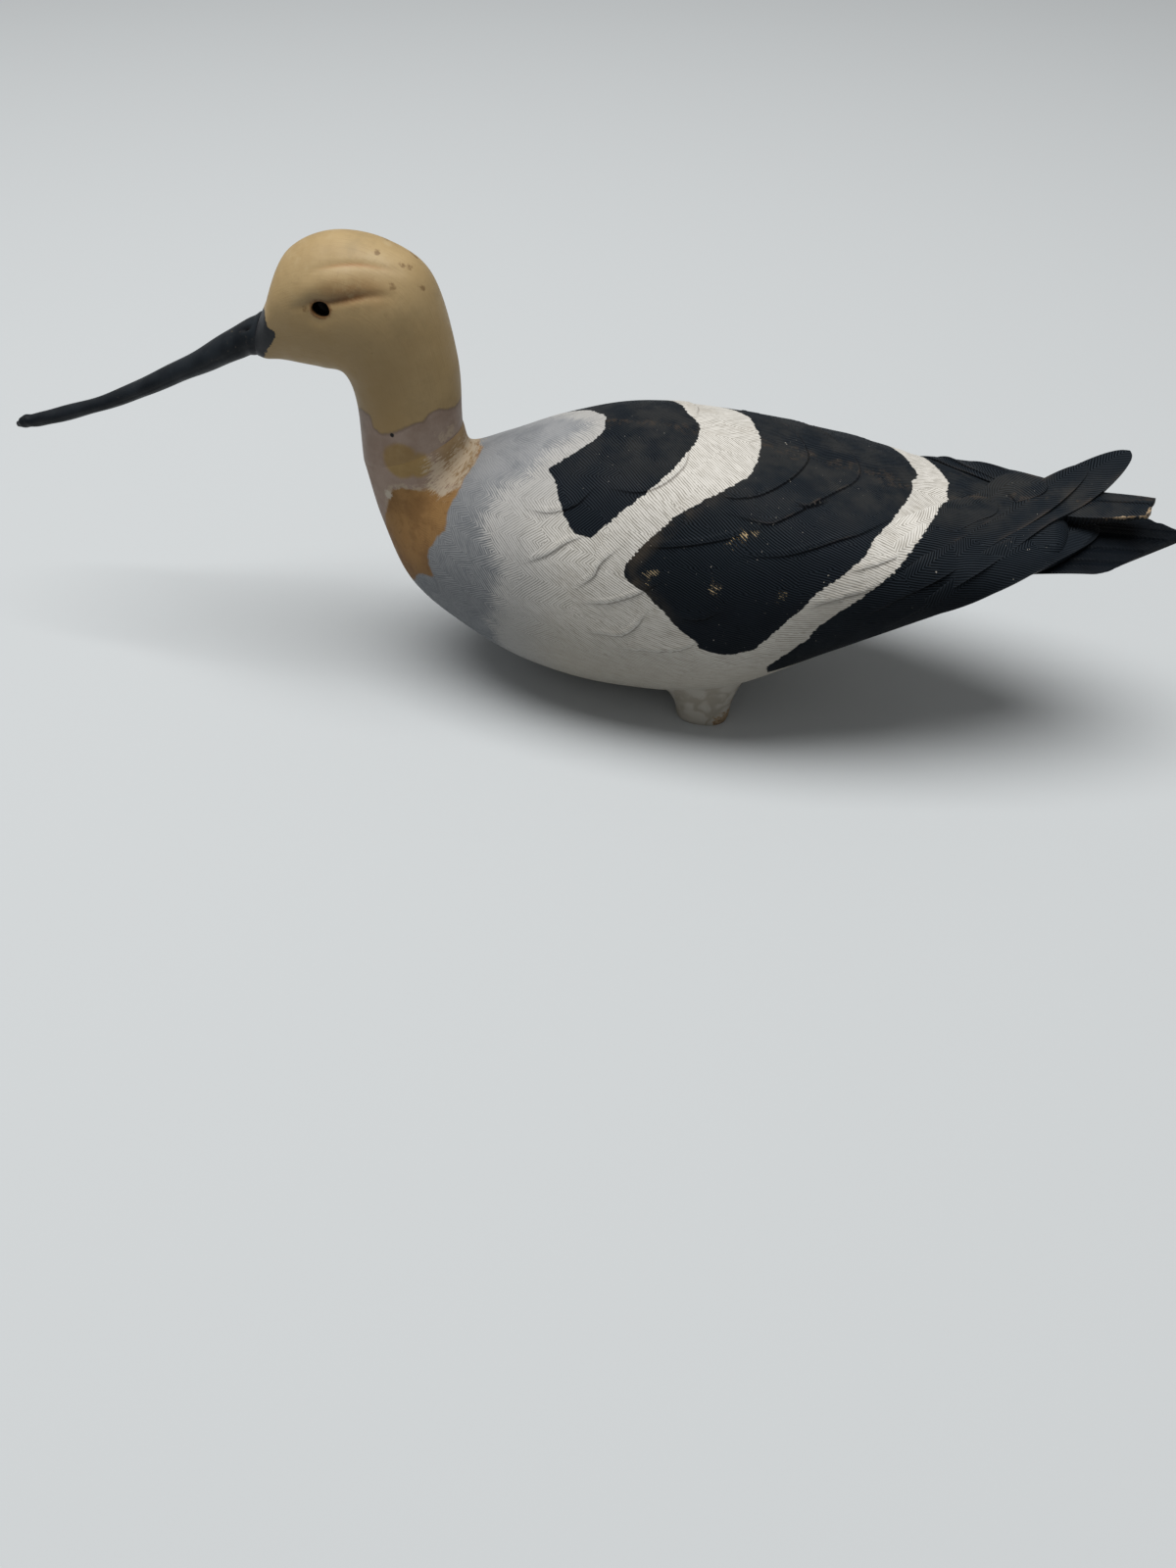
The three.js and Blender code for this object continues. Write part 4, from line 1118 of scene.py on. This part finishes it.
def head_paint():
    p = Paint("head_paint")
    share, turn, eye_gap = (p.read(name) for name in ("share", "turn", "eye_gap"))
    cloud, patch, grain = p.noise(20, 3), p.noise(9, 4, 0.6), p.noise(1.6, 4, 0.7)
    lines = p.noise(1.0, 4, 0.6, p.vector(share * 14, turn * 0.55))
    specks = p.noise(2.6, 3, 0.6).span(0.70, 0.76) * p.noise(18, 1).span(0.52, 0.62)
    spots = specks.most((p.read("spot") + p.noise(1.4, 3, 0.7) * 3.4).span(3.0, 2.1))
    stain = p.read("stain") * p.noise(3, 4, 0.65).span(0.15, 0.55)
    soft = p.sway(2.4, 5, 4, 0.6)
    putty = p.read("putty") + soft
    bill_laps = (p.read("bill_paint") + p.sway(3.2, 2.4, 5, 0.75)).span(0.15, -0.15)
    colour = p.coats(
        p.mix(cloud.span(0.35, 0.66), (0.45, 0.322, 0.156), (0.525, 0.388, 0.20)),
        pale=(patch.span(0.55, 0.8) * 0.35, (0.66, 0.54, 0.33)),
        lines=(lines.span(0.52, 0.70) * 0.30, (0.34, 0.24, 0.12)),
        blotches=(patch.span(0.50, 0.30) * 0.38, (0.33, 0.25, 0.13)),
        grain=(grain.span(0.52, 0.72) * 0.20, (0.32, 0.225, 0.11)),
        # darker low on the neck and on the lower side of the head: painted shade
        neck=(share.span(0.45, 0.15) * 0.42, (0.35, 0.24, 0.105)),
        cheek=(turn.span(45, 108) * 0.55, (0.335, 0.222, 0.092)),
        spots=(spots * 0.72, (0.19, 0.11, 0.045)),
        # stain along the brow, and painted shade under the brow ridge
        stain=(stain * 0.8, (0.26, 0.115, 0.035)),
        crown=(p.read("crown").math("POWER", 3.0) * 0.8, (0.44, 0.215, 0.08)),
        # painted shade in the brow crease
        brow=(p.read("hollow").math("POWER", 2.0) * 0.7, (0.13, 0.06, 0.025)),
        eye_ring=((eye_gap + grain * 2.4).span(5.5, 4.2) * 0.8, (0.16, 0.065, 0.020)),
        # painted shade: the walls deep in the eye holes are black
        eye=(eye_gap.span(2.7, 1.6), (0.002, 0.002, 0.002)),
        putty=(putty.span(0.5, -0.3), neck_filler(p, patch, soft)[0]),
        putty_edge=(abs(putty).span(0.9, 0.0) * 0.45, (0.15, 0.10, 0.07)),
        scraped=(scraped(p, share, turn, 65).span(2.8, 0.2) * 0.6, (0.56, 0.46, 0.34)),
        # the nail hole, a black dot of painted shade
        nail=(p.read("nail").span(0.9, 0.6), (0.004, 0.003, 0.003)),
        bill_paint=(bill_laps, (0.009, 0.011, 0.015)),
    )
    height = p.noise(0.8, 3) * 0.03 + p.noise(7, 2) * 0.18 + lines * 0.05 + bill_laps * 0.06
    p.finish(colour, p.noise(7, 3).span(0.3, 0.75, 0.42, 0.6), height, 0.2, head)


def bill_paint():
    p = Paint("bill_paint")
    scuffs = p.noise(1.5, 4, 0.7).span(0.60, 0.68) * p.noise(16, 2).span(0.46, 0.62)
    worn_tip = p.read("share").span(0.86, 0.98) * p.noise(2.2, 4, 0.7).span(0.52, 0.6)
    colour = p.coats(
        p.mix(p.noise(14, 3).span(0.38, 0.66), (0.003, 0.006, 0.010), (0.011, 0.016, 0.022)),
        scuffs=(scuffs * 0.6, (0.085, 0.072, 0.058)),
        tip=(worn_tip * 0.8, (0.16, 0.095, 0.05)),
        # painted shade in the nostrils and along the mouth line
        nostril=(p.read("hollow"), (0.003, 0.003, 0.004)),
    )
    height = p.noise(0.9, 3) * 0.035 + p.noise(4, 3) * 0.10
    p.finish(colour, p.noise(6, 3).span(0.3, 0.7, 0.4, 0.56), height, 0.17, bill)


bird_paint()
head_paint()
bill_paint()

# Floor and light

FLOOR = 6000.0           # from the middle to each side
corners = np.array([[-1, -1, 0], [1, -1, 0], [1, 1, 0], [-1, 1, 0]]) * FLOOR
floor = add_object("floor", corners - ORIGIN, [(0, 1, 2, 3)])
paper = Paint("paper")
paper.finish((0.435, 0.458, 0.474), 0.8, paper.noise(3) * 0.02, 0.0, floor)

light = bpy.data.lights.new("overhead", "AREA")
light.shape, light.size, light.size_y = "ELLIPSE", 2.25, 0.95
light.energy, light.color = 45, (1.0, 0.985, 0.965)
lamp = bpy.data.objects.new("overhead", light)
lamp.location = (-0.2, 0.0, 1.72)
bpy.context.collection.objects.link(lamp)
world = bpy.context.scene.world or bpy.data.worlds.new("world")
bpy.context.scene.world = world
world.use_nodes = True
sky = world.node_tree.nodes["Background"].inputs
sky["Color"].default_value, sky["Strength"].default_value = (1.0, 0.99, 0.97, 1), 0.28
bpy.context.scene.view_settings.view_transform = "Standard"
